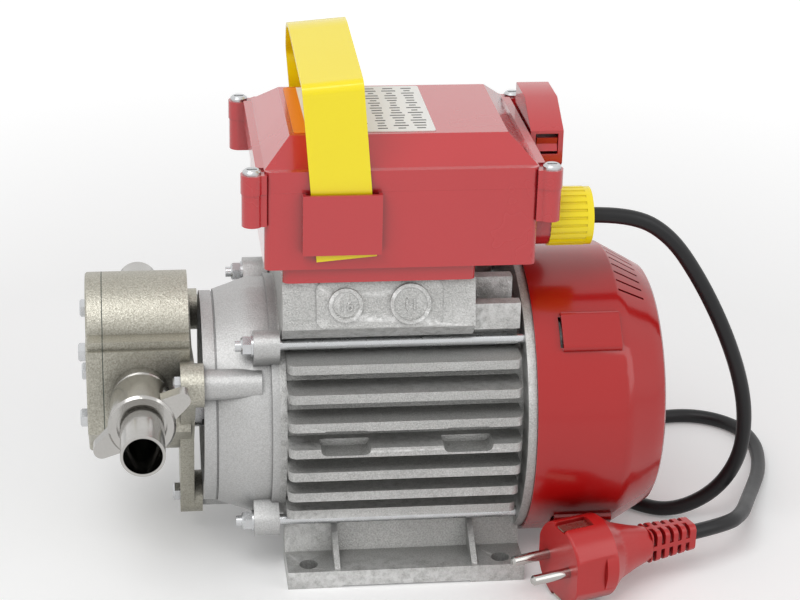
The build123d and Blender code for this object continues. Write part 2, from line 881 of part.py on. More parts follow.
# Fan cover: plain barrel, cone, vented end wall and a bump over each tie-rod nut
cover_end = cover_x0 + cover_length
cone_x = cover_x0 + cover_straight
inner_r = cover_r - cover_wall
with BuildPart() as fan_cover:
    add(
        turned(
            [
                (cover_x0, 0),
                (cover_x0, cover_r),
                (cone_x, cover_r),
                (cover_end - 1.5, cover_end_r + 1.0),
                (cover_end, cover_end_r - 1.5),
                (cover_end, 0),
            ]
        )
    )
    for a in (45, 135, 225, 315):
        with BuildSketch(on_shaft(bump_x0)):
            with Locations(Location((bump_r / 2 * cos(radians(a)), bump_r / 2 * sin(radians(a)), 0), a)):
                RectangleRounded(bump_r, bump_width, 2.5)
        extrude(amount=bump_length)
    add(
        turned(
            [
                (cover_x0, 0),
                (cover_x0, inner_r),
                (cone_x, inner_r),
                (cover_end - cover_wall, cover_end_r - cover_wall + 1.0),
                (cover_end - cover_wall, 0),
            ]
        ),
        mode=Mode.SUBTRACT,
    )
    hollow = bump_r - 2
    for a in (45, 135, 225, 315):
        with BuildSketch(on_shaft(bump_x0 - 1)):
            with Locations(Location((hollow / 2 * cos(radians(a)), hollow / 2 * sin(radians(a)), 0), a)):
                Rectangle(hollow, bump_width - 4)
        extrude(amount=bump_length - 1, mode=Mode.SUBTRACT)
    with BuildSketch(on_shaft(cover_end - cover_wall)):
        for r in cover_vent_r:
            for start in range(5, 360, 45):
                with BuildLine():
                    CenterArc((0, 0), r, start, cover_vent_arc)
                trace(line_width=cover_vent_width)
    extrude(amount=cover_wall + 1, mode=Mode.SUBTRACT)
    # vent slits through the cone, above and below
    for middle in (90, 270):
        with BuildSketch(on_shaft(cone_x + 1.5)):
            for k in range(cone_slits):
                a = middle + slit_pitch * (k - (cone_slits - 1) / 2)
                with Locations(Location((cover_r * cos(radians(a)), cover_r * sin(radians(a)), 0), a)):
                    Rectangle(24, slit_width)
        extrude(amount=slit_length, mode=Mode.SUBTRACT)
    # screw holes into the fan-end shield, far side and top
    screw_x = frame_right + rear_disc_length / 2
    with BuildSketch(Plane.XZ.offset(-cover_r - 1)):
        with Locations((screw_x, shaft_height)):
            Circle(1.6)
    extrude(amount=5, mode=Mode.SUBTRACT)
    with BuildSketch(Plane.XY.offset(shaft_height + cover_r + 1)):
        with Locations((screw_x, 0)):
            Circle(1.6)
    extrude(amount=-5, mode=Mode.SUBTRACT)
save(fan_cover.part, "fan_cover")

with BuildPart() as cover_screws:
    with BuildSketch(Plane.XZ.offset(-cover_r)):
        with Locations((screw_x, shaft_height)):
            Circle(2.8)
    extrude(amount=-1.6)
    with BuildSketch(Plane.XZ.offset(-cover_r)):
        with Locations((screw_x, shaft_height)):
            Circle(1.45)
    extrude(amount=cover_wall)
    with BuildSketch(Plane.XY.offset(shaft_height + cover_r)):
        with Locations((screw_x, 0)):
            Circle(2.8)
    extrude(amount=1.6)
    with BuildSketch(Plane.XY.offset(shaft_height + cover_r)):
        with Locations((screw_x, 0)):
            Circle(1.45)
    extrude(amount=-cover_wall)
save(cover_screws.part, "fan_cover_screws")


# Pump: body with a three-lug flange, gasket and cover plate, all on one outline
def belt(a, a_r, b, b_r):
    """Corners of the area between the two outer tangents of two circles."""
    run = sqrt((b[0] - a[0]) ** 2 + (b[1] - a[1]) ** 2)
    heading = atan2(b[1] - a[1], b[0] - a[0])
    spread = acos((a_r - b_r) / run)
    corners = []
    for centre, radius, side in ((a, a_r, 1), (b, b_r, 1), (b, b_r, -1), (a, a_r, -1)):
        turn = heading + side * spread
        corners.append((centre[0] + radius * cos(turn), centre[1] + radius * sin(turn)))
    return corners


def pump_outline(x):
    lower = radians(-32)
    with BuildSketch(on_shaft(x, 0)) as outline:
        with Locations((0, driven_height), (0, shaft_height)):
            Circle(dome_r)
        with Locations((0, port_height)):
            Rectangle(2 * dome_r, gear_centres)
            Rectangle(2 * pump_block_half_y, pump_block_height)
        with Locations((0, port_height + (pump_block_height + pump_shelf) / 2)):
            Rectangle(2 * pump_block_half_y - 5, pump_shelf)
        with BuildLine():
            Polyline(
                [
                    (-pump_block_half_y, port_height - pump_block_height / 2),
                    (-dome_r * cos(lower), shaft_height + dome_r * sin(lower)),
                    (dome_r * cos(lower), shaft_height + dome_r * sin(lower)),
                    (pump_block_half_y, port_height - pump_block_height / 2),
                ],
                close=True,
            )
        make_face()
    return outline.sketch


def port_plane(side):
    """Plane holding a port axis: its own x runs outwards and its own y is +Z; side is -1 near, +1 far."""
    return Plane(origin=(port_x, 0, port_height), x_dir=(0, side, 0), z_dir=(side, 0, 0))


def port_face(side, distance):
    """Plane across a port axis, facing outwards."""
    return Plane(origin=(port_x, side * distance, port_height), x_dir=(1, 0, 0), z_dir=(0, side, 0))


def port_turned(points, side):
    with BuildPart() as piece:
        with BuildSketch(port_plane(side)):
            with BuildLine():
                Polyline(points, close=True)
            make_face()
        revolve(axis=Axis((port_x, 0, port_height), (0, 1, 0)))
    return piece.part


gear_axes = ((0, shaft_height), (0, driven_height))
cover_bolts = [
    (y, port_height + z) for y in (-cover_bolt_y, cover_bolt_y) for z in (-cover_bolt_z, cover_bolt_z)
]
flange_places = [(y, shaft_height + z) for y, z in circle_places(flange_bolt_circle_r, flange_angles)]
flange_front = shield_front - flange_lug_thickness
chamber_end = body_front + chamber_depth
cover_inner = body_front - gasket_thickness
cover_outer = cover_inner - pump_cover_thickness
seal_x0 = flange_plate_rear - seal_length
nipple_root_r = thread_r - 2.2
body_outline = pump_outline(body_front)
with BuildPart() as pump_body:
    extrude(to_extrude=body_outline, amount=body_rear - body_front)
    with BuildSketch(on_shaft(flange_front, 0)):
        for place in flange_places:
            with Locations(place):
                Circle(flange_lug_r)
            with BuildLine():
                Polyline(belt((0, shaft_height), dome_r, place, flange_lug_r), close=True)
            make_face()
        with Locations((0, shaft_height)):
            Circle(dome_r)
    extrude(amount=flange_plate_thickness)
    with BuildSketch(on_shaft(flange_plate_rear, 0)):
        with Locations(*flange_places):
            Circle(flange_lug_r)
    extrude(amount=shield_front - flange_plate_rear)
    # gear chamber, shaft bores, seal seat
    with BuildSketch(on_shaft(body_front, 0)):
        with Locations(*gear_axes):
            Circle(chamber_r)
    extrude(amount=chamber_depth, mode=Mode.SUBTRACT)
    with BuildSketch(on_shaft(chamber_end, 0)):
        with Locations(*gear_axes):
            Circle(bush_r)
    extrude(amount=bush_length, mode=Mode.SUBTRACT)
    with BuildSketch(on_shaft(chamber_end)):
        Circle(pump_shaft_r + 0.6)
    extrude(amount=flange_plate_rear - chamber_end, mode=Mode.SUBTRACT)
    with BuildSketch(on_shaft(seal_x0)):
        Circle(seal_r)
    extrude(amount=shield_front - seal_x0, mode=Mode.SUBTRACT)
    # ports
    for side in (-1, 1):
        with BuildSketch(port_face(side, 0)):
            Circle(port_bore_r)
        extrude(amount=pump_block_half_y, mode=Mode.SUBTRACT)
        with BuildSketch(port_face(side, pump_block_half_y - nipple_root)):
            Circle(nipple_root_r + slip)
        extrude(amount=nipple_root, mode=Mode.SUBTRACT)
    with BuildSketch(on_shaft(body_front, 0)):
        with Locations(*cover_bolts):
            Circle(bolt_hole_r)
    extrude(amount=cover_bolt_length, mode=Mode.SUBTRACT)
    with BuildSketch(on_shaft(flange_front, 0)):
        with Locations(*flange_places):
            Circle(bolt_hole_r)
    extrude(amount=flange_lug_thickness, mode=Mode.SUBTRACT)
save(pump_body.part, "pump_body")

gasket_outline = pump_outline(cover_inner)
with BuildPart() as pump_gasket:
    extrude(to_extrude=gasket_outline, amount=gasket_thickness)
    with BuildSketch(on_shaft(cover_inner, 0)):
        with Locations(*gear_axes):
            Circle(chamber_r)
        with Locations((0, port_height)):
            Rectangle(20, 6)
        with Locations(*cover_bolts):
            Circle(bolt_hole_r)
    extrude(amount=gasket_thickness, mode=Mode.SUBTRACT)
save(pump_gasket.part, "pump_gasket")

cover_outline = pump_outline(cover_outer)
with BuildPart() as pump_cover:
    extrude(to_extrude=cover_outline, amount=pump_cover_thickness)
    outer_rim = pump_cover.faces().sort_by(Axis.X)[0].edges()
    chamfer(outer_rim, 0.8)
    with BuildSketch(on_shaft(cover_inner, 0)):
        with Locations(*gear_axes):
            Circle(bush_r)
    extrude(amount=-bush_length, mode=Mode.SUBTRACT)
    with BuildSketch(on_shaft(cover_outer, 0)):
        with Locations(*cover_bolts):
            Circle(bolt_hole_r)
    extrude(amount=pump_cover_thickness, mode=Mode.SUBTRACT)
save(pump_cover.part, "pump_cover")


def hex_bolts(face, places, length):
    """Bolts whose heads stand on the -X side of a face and whose shanks run +X."""
    with BuildPart() as bolts:
        with BuildSketch(on_shaft(face - head_height, 0)):
            with Locations(*places):
                RegularPolygon(hex_flats / 2, 6, major_radius=False)
        extrude(amount=head_height)
        with BuildSketch(on_shaft(face, 0)):
            with Locations(*places):
                Circle(bolt_r)
        extrude(amount=length)
    return bolts.part


cover_shank = body_front + cover_bolt_length - 1.0 - cover_outer
save(hex_bolts(cover_outer, cover_bolts, cover_shank), "cover_bolts")
save(hex_bolts(flange_front, flange_places, flange_lug_thickness + 12.0), "flange_bolts")

with BuildPart() as shaft_bushes:
    for x0 in (cover_inner - bush_length, chamber_end):
        with BuildSketch(on_shaft(x0, 0)):
            with Locations(*gear_axes):
                Circle(bush_r)
                Circle(pump_shaft_r + fit, mode=Mode.SUBTRACT)
        extrude(amount=bush_length)
save(shaft_bushes.part, "shaft_bushes")

save(
    turned(
        [
            (seal_x0, seal_r),
            (flange_plate_rear, seal_r),
            (flange_plate_rear, seal_r - 1.5),
            (flange_plate_rear - 1.5, seal_r - 1.5),
            (flange_plate_rear - 1.5, pump_shaft_r + fit),
            (flange_plate_rear - 3.0, pump_shaft_r + fit),
            (seal_x0, pump_shaft_r + 1.5),
        ]
    ),
    "shaft_seal",
)

# Gears: stub involute teeth, the driven gear turned so that a gap faces a tooth
base_r = gear_module * gear_teeth / 2 * cos(radians(gear_pressure_angle))
root_r = gear_module * (gear_teeth / 2 - gear_dedendum)
pitch_r = gear_module * gear_teeth / 2


def involute(angle):
    return tan(angle) - angle


def flank_half_angle(radius):
    """Half the angle that a tooth fills at a radius, in radians."""
    at_pitch = (pi * gear_module / 2 - gear_backlash / 2) / (2 * pitch_r)
    reach = acos(min(1.0, base_r / radius))
    return at_pitch + involute(radians(gear_pressure_angle)) - involute(reach)


def gear_teeth_solid(z):
    steps = 6
    radii = [base_r + (gear_tip_r - base_r) * i / steps for i in range(steps + 1)]
    left = [(r * sin(-flank_half_angle(r)), r * cos(flank_half_angle(r))) for r in radii]
    right = [(-y, h) for y, h in left]
    root_x = 0.97 * root_r * sin(flank_half_angle(base_r))
    root_y = 0.97 * root_r * cos(flank_half_angle(base_r))
    with BuildSketch() as tooth:
        with BuildLine():
            Spline(left)
            ThreePointArc(left[-1], (0, gear_tip_r), right[-1])
            Spline(right)
            Polyline(left[0], (-root_x, root_y), (root_x, root_y), right[0])
        make_face()
    with BuildPart() as gear:
        with BuildSketch(on_shaft(body_front + gear_side_gap, z)):
            Circle(root_r)
            with PolarLocations(0, gear_teeth):
                add(tooth.sketch)
            Circle(pump_shaft_r, mode=Mode.SUBTRACT)
        extrude(amount=chamber_depth - 2 * gear_side_gap)
    return gear.part


save(gear_teeth_solid(shaft_height), "drive_gear")
save(gear_teeth_solid(driven_height), "driven_gear")

shaft_front = cover_inner - bush_length + 0.2
pump_half_end = coupling_face + coupling_base


def plain_shaft(x0, x1, z):
    with BuildPart() as rod:
        with BuildSketch(on_shaft(x0, z)):
            Circle(pump_shaft_r)
        extrude(amount=x1 - x0)
    return rod.part


save(plain_shaft(shaft_front, pump_half_end, shaft_height), "pump_shaft")
save(plain_shaft(shaft_front, chamber_end + bush_length - 0.2, driven_height), "idler_shaft")


# Coupling: two jaws on each half with a rubber insert between them
def sector(start, arc, inner, outer):
    """Corners of a sector; start and arc in degrees."""
    steps = 8
    turns = [radians(start + arc * i / steps) for i in range(steps + 1)]
    rim = [(outer * cos(t), outer * sin(t)) for t in turns]
    hub = [(inner * cos(t), inner * sin(t)) for t in reversed(turns)]
    return rim + hub


def jaws(first, face, length):
    with BuildPart() as pair:
        with BuildSketch(on_shaft(face)):
            for middle in (first, first + 180):
                start = middle - coupling_jaw_angle / 2
                with BuildLine():
                    Polyline(sector(start, coupling_jaw_angle, coupling_bore_r, coupling_r), close=True)
                make_face()
        extrude(amount=length)
    return pair.part


jaw_length = coupling_insert + coupling_gap
with BuildPart() as pump_half:
    with BuildSketch(on_shaft(coupling_face)):
        Circle(coupling_r)
        Circle(pump_shaft_r, mode=Mode.SUBTRACT)
    extrude(amount=coupling_base)
    add(jaws(0, pump_half_end, jaw_length))
save(pump_half.part, "pump_coupling_half")

motor_hub_end = front_bearing_x - 0.5
with BuildPart() as motor_half:
    with BuildSketch(on_shaft(motor_half_x0)):
        Circle(coupling_r)
    extrude(amount=coupling_base + 0.6)
    with BuildSketch(on_shaft(motor_half_x0)):
        Circle(drive_end_r + 2.8)
    extrude(amount=motor_hub_end - motor_half_x0)
    add(jaws(90, motor_half_x0, -jaw_length))
    with BuildSketch(on_shaft(motor_half_x0)):
        Circle(drive_end_r)
        with Locations((0, drive_end_r)):
            Rectangle(4.0, 3.8)
    extrude(amount=motor_hub_end - motor_half_x0, mode=Mode.SUBTRACT)
save(motor_half.part, "motor_coupling_half")

with BuildPart() as shaft_key:
    with BuildSketch(on_shaft(motor_shaft_x0)):
        with Locations((0, drive_end_r)):
            Rectangle(3.9, 3.7)
    extrude(amount=4.9)
save(shaft_key.part, "coupling_key")

arm_angle = 90 - coupling_jaw_angle - 3
with BuildPart() as insert:
    with BuildSketch(on_shaft(insert_x0)):
        Circle(coupling_bore_r - coupling_gap)
        for middle in (45, 135, 225, 315):
            start = middle - arm_angle / 2
            with BuildLine():
                Polyline(sector(start, arm_angle, coupling_bore_r - 1.5, coupling_r - 0.6), close=True)
            make_face()
        Circle(3, mode=Mode.SUBTRACT)
    extrude(amount=coupling_insert)
save(insert.part, "coupling_insert")

# Ports
collar_r = thread_r - 0.3
tail_start_y = nipple_end_y + ring_seal_thickness
with BuildPart() as port_nipples:
    for side in (-1, 1):
        add(
            port_turned(
                [
                    (pump_block_half_y - nipple_root, port_bore_r),
                    (pump_block_half_y - nipple_root, nipple_root_r),
                    (pump_block_half_y, nipple_root_r),
                    (pump_block_half_y, nipple_base_r),
                    (pump_block_half_y + nipple_base_length, nipple_base_r),
                    (pump_block_half_y + nipple_base_length, thread_r),
                    (nipple_end_y - 1, thread_r),
                    (nipple_end_y, thread_r - 1),
                    (nipple_end_y, port_bore_r),
                ],
                side,
            )
        )
save(port_nipples.part, "port_nipples")

with BuildPart() as port_seal_rings:
    for side in (-1, 1):
        add(
            port_turned(
                [
                    (nipple_end_y, tail_bore_r + 0.5),
                    (nipple_end_y, collar_r - 1),
                    (tail_start_y, collar_r - 1),
                    (tail_start_y, tail_bore_r + 0.5),
                ],
                side,
            )
        )
save(port_seal_rings.part, "port_seal_rings")


def hose_tail(side):
    return port_turned(
        [
            (tail_start_y, tail_bore_r),
            (tail_start_y, collar_r),
            (tail_start_y + tail_collar_length, collar_r),
            (tail_start_y + tail_collar_length, tail_r),
            (tail_end_y, tail_r),
            (tail_end_y, tail_bore_r),
        ],
        side,
    )


def wing_nut(side):
    wing_y = nut_end_y - nut_lip / 2 - wing_thickness
    with BuildPart() as nut:
        with BuildSketch(port_face(side, wing_y)):
            for start in (0, 180):
                turn = radians(start - side * wing_angle)
                tip = wing_reach - wing_width / 2
                end = (tip * cos(turn), tip * sin(turn))
                with Locations(end):
                    Circle(wing_width / 2)
                with BuildLine():
                    Polyline(belt((0, 0), wing_width * 1.2, end, wing_width / 2), close=True)
                make_face()
        extrude(amount=wing_thickness)
        add(
            port_turned(
                [
                    (nut_start_y, 0),
                    (nut_start_y, nut_back_r - 0.8),
                    (nut_start_y + 0.8, nut_back_r),
                    (nut_end_y - 1.2, nut_outer_r),
                    (nut_end_y, nut_outer_r - 1.0),
                    (nut_end_y, 0),
                ],
                side,
            )
        )
        add(
            port_turned(
                [
                    (nut_start_y, 0),
                    (nut_start_y, thread_r + fit),
                    (nipple_end_y, thread_r + fit),
                    (nipple_end_y, thread_r + 0.5),
                    (nut_end_y - nut_lip, thread_r + 0.5),
                    (nut_end_y - nut_lip, nut_lip_bore_r),
                    (nut_end_y, nut_lip_bore_r),
                    (nut_end_y, 0),
                ],
                side,
            ),
            mode=Mode.SUBTRACT,
        )
    return nut.part


for side, name in ((-1, "outlet"), (1, "inlet")):
    save(hose_tail(side), name + "_hose_tail")
    save(wing_nut(side), name + "_union_nut")

# Control box: base with skirt, spout, strap pockets and corner lugs
box_centre_x = (box_x0 + box_x1) / 2
skirt_x1 = seat_x0 + seat_length - 0.5
skirt_centre_x = (seat_x0 + skirt_x1) / 2
skirt_length = skirt_x1 - seat_x0
skirt_inner_length = skirt_length - 2 * box_wall
skirt_inner_width = 2 * (skirt_half_y - box_wall)
rim_length = box_length - box_wall
rim_width = 2 * box_half_y - box_wall
corner_round = 3.0
boss_height = box_floor_z + box_wall + 1.0 - seat_top_z
box_screw_places = [(x, s * box_screw_y) for x in box_screw_xs for s in (-1, 1)]
lug_places = [(x, s * lug_y) for x in lug_xs for s in (-1, 1)]


def lug_webs(radius):
    """Short webs from the corner lugs to the end walls."""
    with BuildSketch() as webs:
        for s in (-1, 1):
            with Locations(((lug_xs[0] + box_x0 + 1) / 2, s * (lug_y - 1))):
                Rectangle(box_x0 + 1 - lug_xs[0], 2 * radius - 2)
            with Locations(((lug_xs[1] + box_x1 - 1) / 2, s * (lug_y - 1))):
                Rectangle(lug_xs[1] - box_x1 + 1, 2 * radius - 2)
        with Locations(*lug_places):
            Circle(radius)
    return webs.sketch


base_webs = lug_webs(base_lug_r)
lid_webs = lug_webs(lid_lug_r)
pocket_room = pocket_proud - pocket_wall
pocket_height = box_split_z - pocket_bottom_z
with BuildPart() as box_base:
    with BuildSketch(Plane.XY.offset(box_floor_z)):
        with Locations((box_centre_x, 0)):
            RectangleRounded(box_length, 2 * box_half_y, corner_round)
    extrude(amount=box_split_z - box_floor_z)
    with BuildSketch(Plane.XY.offset(box_floor_z + box_wall)):
        with Locations((box_centre_x, 0)):
            RectangleRounded(box_length - 2 * box_wall, 2 * (box_half_y - box_wall), corner_round)
    extrude(amount=box_split_z - box_floor_z, mode=Mode.SUBTRACT)
    with BuildSketch(Plane.XY.offset(seat_top_z)):
        with Locations((skirt_centre_x, 0)):
            RectangleRounded(skirt_length, 2 * skirt_half_y, corner_round)
            RectangleRounded(skirt_inner_length, skirt_inner_width, corner_round, mode=Mode.SUBTRACT)
    extrude(amount=box_floor_z - seat_top_z)
    with BuildSketch(Plane.XY.offset(seat_top_z)):
        with Locations(*box_screw_places):
            Circle(box_boss_r)
    extrude(amount=boss_height)
    for side in (-1, 1):
        with BuildSketch(Plane.XY.offset(pocket_bottom_z)):
            with Locations((pocket_x0 + pocket_width / 2, side * (box_half_y + pocket_proud / 2 - 0.5))):
                Rectangle(pocket_width, pocket_proud + 1)
        extrude(amount=pocket_height)
    with BuildSketch(on_shaft(box_x1, 0)):
        with Locations((gland_y, gland_z)):
            Circle(spout_r)
    extrude(amount=spout_length)
    with BuildSketch(on_shaft(box_x1 + spout_length, 0)):
        with Locations((gland_y, gland_z)):
            Circle(spout_thread_r)
    extrude(amount=spout_thread_length)
    webs_below = Plane.XY.offset(box_split_z - base_lug_length) * base_webs
    extrude(to_extrude=webs_below, amount=base_lug_length)
    # cuts: rim groove, strap slots, cable way, screw holes, wire hole
    with BuildSketch(Plane.XY.offset(box_split_z)):
        with Locations((box_centre_x, 0)):
            Rectangle(rim_length + groove, rim_width + groove)
            Rectangle(rim_length - groove, rim_width - groove, mode=Mode.SUBTRACT)
    extrude(amount=-groove, mode=Mode.SUBTRACT)
    for side in (-1, 1):
        with BuildSketch(Plane.XY.offset(pocket_bottom_z)):
            with Locations((pocket_x0 + pocket_width / 2, side * (box_half_y + pocket_room / 2))):
                Rectangle(pocket_width - 2 * pocket_wall, pocket_room)
        extrude(amount=pocket_height, mode=Mode.SUBTRACT)
    with BuildSketch(on_shaft(box_x1 - box_wall, 0)):
        with Locations((gland_y, gland_z)):
            Circle(gland_bore_r + 1)
    extrude(amount=box_wall + spout_length + spout_thread_length, mode=Mode.SUBTRACT)
    with BuildSketch(Plane.XY.offset(seat_top_z)):
        with Locations(*box_screw_places):
            Circle(box_screw_hole_r)
        with Locations((seat_x0 + seat_length / 2, 0)):
            Circle(seat_wire_hole_r)
    extrude(amount=boss_height, mode=Mode.SUBTRACT)
    with BuildSketch(Plane.XY.offset(box_split_z)):
        with Locations(*lug_places):
            Circle(lid_screw_r + 0.1)
    extrude(amount=-base_lug_length + 2, mode=Mode.SUBTRACT)
save(box_base.part, "control_box_base")

with BuildPart() as box_screws:
    with BuildSketch(Plane.XY.offset(seat_top_z + boss_height)):
        with Locations(*box_screw_places):
            Circle(box_screw_head_r)
    extrude(amount=box_screw_head_height)
    with BuildSketch(Plane.XY.offset(seat_top_z + boss_height)):
        with Locations(*box_screw_places):
            Circle(box_screw_r)
    extrude(amount=-boss_height - box_screw_depth + 1)
save(box_screws.part, "box_screws")

with BuildPart() as lid_gasket:
    with BuildSketch(Plane.XY.offset(box_split_z)):
        with Locations((box_centre_x, 0)):
            Rectangle(rim_length + groove, rim_width + groove)
            Rectangle(rim_length - groove, rim_width - groove, mode=Mode.SUBTRACT)
    extrude(amount=-groove)
save(lid_gasket.part, "lid_gasket")

lid_top_centre = (lid_top_x0 + lid_top_length / 2, 0)
with BuildPart() as box_lid:
    with BuildSketch(Plane.XY.offset(box_split_z)):
        with Locations((box_centre_x, 0)):
            RectangleRounded(box_length, 2 * box_half_y, corner_round)
            Rectangle(box_length + 2 * ledge_reach, 2 * ledge_half_y)
    extrude(amount=lid_rim_z - box_split_z)
    with BuildSketch(Plane.XY.offset(lid_rim_z)):
        with Locations((box_centre_x, 0)):
            Rectangle(box_length - 0.6, 2 * lid_slope_half_y)
    with BuildSketch(Plane.XY.offset(lid_top_z)):
        with Locations(lid_top_centre):
            Rectangle(lid_top_length, 2 * lid_top_half_y)
    loft()
    extrude(to_extrude=Plane.XY.offset(box_split_z) * lid_webs, amount=lid_rim_z - 1.0 - box_split_z)
    with BuildSketch(Plane.XY.offset(box_split_z)):
        with Locations((box_centre_x, 0)):
            RectangleRounded(box_length - 2 * box_wall, 2 * (box_half_y - box_wall), corner_round)
    extrude(amount=lid_rim_z - box_wall - box_split_z, mode=Mode.SUBTRACT)
    with BuildSketch(Plane.XY.offset(lid_rim_z - box_wall)):
        with Locations((box_centre_x, 0)):
            Rectangle(box_length - 4 * box_wall, 2 * lid_slope_half_y - 3 * box_wall)
    with BuildSketch(Plane.XY.offset(lid_top_z - box_wall)):
        with Locations(lid_top_centre):
            Rectangle(lid_top_length - box_wall, 2 * lid_top_half_y - box_wall)
    loft(mode=Mode.SUBTRACT)
    with BuildSketch(Plane.XY.offset(box_split_z)):
        with Locations(*lug_places):
            Circle(lid_screw_r + 0.1)
    extrude(amount=lid_rim_z - box_split_z, mode=Mode.SUBTRACT)
save(box_lid.part, "control_box_lid")

with BuildPart() as lid_screws:
    with BuildSketch(Plane.XY.offset(lid_rim_z - 1.0)):
        with Locations(*lug_places):
            Circle(lid_screw_head_r)
    extrude(amount=lid_screw_head_height)
    with BuildSketch(Plane.XY.offset(lid_rim_z - 1.0)):
        with Locations(*lug_places):
            Circle(lid_screw_r)
    extrude(amount=-(lid_rim_z - 1.0 - box_split_z + base_lug_length - 3))
save(lid_screws.part, "lid_screws")

with BuildPart() as rating_label:
    with BuildSketch(Plane.XY.offset(lid_top_z)):
        with Locations((label_x0 + label_length / 2, 0)):
            RectangleRounded(label_length, 2 * label_half_y, 1.5)
    extrude(amount=label_thickness)
save(rating_label.part, "rating_label")

# Strap handle: a flat band, leaning, with both tails held in the pockets
strap_y = box_half_y + strap_thickness / 2 + 0.3
lean = cos(radians(strap_lean))
strap_line = [
    (-strap_y, strap_tail_z),
    (-strap_y, strap_shoulder_z),
    (strap_crown_y, strap_crown_z),
    (strap_y, strap_back_z),
    (strap_y, strap_tail_z),
]
strap_plane = Plane(
    origin=(strap_centre_x, 0, box_split_z),
    x_dir=(0, 1, 0),
    z_dir=(cos(radians(strap_lean)), 0, sin(radians(strap_lean))),
)
with BuildPart() as strap:
    with BuildSketch(strap_plane):
        with BuildLine():
            corners = [(y, (z - box_split_z) / lean) for y, z in strap_line]
            FilletPolyline(corners, radius=[3.5, 45.0, 8.0])
        trace(line_width=strap_thickness)
    extrude(amount=strap_width / 2, both=True)
save(strap.part, "handle_strap")

# Inside the box: terminal block and run capacitor
floor_top = box_floor_z + box_wall
with BuildPart() as terminal_block:
    with BuildSketch(Plane.XY.offset(floor_top)):
        with Locations(terminal_place):
            Rectangle(terminal_length, terminal_width)
    extrude(amount=terminal_height)
    with BuildSketch(Plane.XY.offset(floor_top + terminal_height)):
        with GridLocations(terminal_pitch, 1, 3, 1):
            with Locations(terminal_place):
                Circle(2.0)
    extrude(amount=stud_height)
save(terminal_block.part, "terminal_block")

capacitor_z = floor_top + capacitor_r + 0.2
with BuildPart() as capacitor:
    with BuildSketch(on_shaft(capacitor_x0, 0)):
        with Locations((capacitor_y, capacitor_z)):
            Circle(capacitor_r)
    extrude(amount=capacitor_length)
    with BuildSketch(on_shaft(capacitor_x0 + capacitor_length, 0)):
        with Locations((capacitor_y - 4, capacitor_z), (capacitor_y + 4, capacitor_z)):
            Rectangle(0.8, 6)
    extrude(amount=8)
save(capacitor.part, "run_capacitor")

# Cable gland
gland_face = box_x1 + spout_length
gland_end = gland_face + gland_nut_length
with BuildPart() as gland_nut:
    with BuildSketch(on_shaft(gland_face, 0)):
        with Locations((gland_y, gland_z)):
            Circle(gland_nut_r)
            with PolarLocations(gland_nut_r, 24):
                Circle(0.7, mode=Mode.SUBTRACT)
    extrude(amount=gland_nut_length - 3)
    with BuildSketch(on_shaft(gland_end - 3, 0)):
        with Locations((gland_y, gland_z)):
            Circle(gland_nut_r - 0.2)
    extrude(amount=3)
    with BuildSketch(on_shaft(gland_face, 0)):
        with Locations((gland_y, gland_z)):
            Circle(spout_thread_r + slip)
    extrude(amount=gland_nut_length - 3, mode=Mode.SUBTRACT)
    with BuildSketch(on_shaft(gland_face, 0)):
        with Locations((gland_y, gland_z)):
            Circle(gland_bore_r)
    extrude(amount=gland_nut_length, mode=Mode.SUBTRACT)
save(gland_nut.part, "gland_nut")

with BuildPart() as gland_seal:
    with BuildSketch(on_shaft(gland_face + spout_thread_length, 0)):
        with Locations((gland_y, gland_z)):
            Circle(spout_thread_r - 0.2)
    extrude(amount=gland_nut_length - 3 - spout_thread_length)
    with BuildSketch(on_shaft(gland_end - 3, 0)):
        with Locations((gland_y, gland_z)):
            Circle(gland_bore_r - 0.1)
    extrude(amount=3)
    with BuildSketch(on_shaft(gland_face, 0)):
        with Locations((gland_y, gland_z)):
            Circle(2.0)
    extrude(amount=gland_nut_length, mode=Mode.SUBTRACT)
save(gland_seal.part, "gland_seal")

# Reversing switch: hood on the end wall and a rocker on a cross pin
neck_top_z = box_split_z - 0.6
with BuildPart() as hood:
    with BuildSketch(on_shaft(hood_x0, 0)):
        with BuildLine():
            Polyline(
                [
                    (hood_rear_y, hood_bottom_z),
                    (hood_rear_y, hood_top_z),
                    (hood_top_y0, hood_top_z),
                    (hood_front_y, hood_brow_z),
                    (hood_front_y, hood_bottom_z + 14.0),
                    (hood_front_y + 14.0, hood_bottom_z),
                ],
                close=True,
            )
        make_face()
    extrude(amount=hood_length)
    with BuildSketch(on_shaft(box_x1, 0)):
        with Locations(((hood_front_y + hood_rear_y) / 2 + 4, (neck_top_z + hood_bottom_z) / 2)):
            Rectangle(hood_rear_y - hood_front_y - 12, neck_top_z - hood_bottom_z)
    extrude(amount=hood_x0 - box_x1)
    with BuildSketch(Plane.XZ.offset(-hood_front_y)):
        with Locations((hood_x0 + hood_length / 2, rocker_z)):
            Rectangle(rocker_width + 2 * air, 2 * rocker_pocket_half)
    extrude(amount=-(rocker_pivot_y - hood_front_y + rocker_back + 1.2), mode=Mode.SUBTRACT)
    with BuildSketch(on_shaft(hood_x0 + 1.2, 0)):
        with Locations((rocker_pivot_y, rocker_z)):
            Circle(rocker_pin_r + fit)
    extrude(amount=hood_length - 2.4, mode=Mode.SUBTRACT)
save(hood.part, "switch_hood")

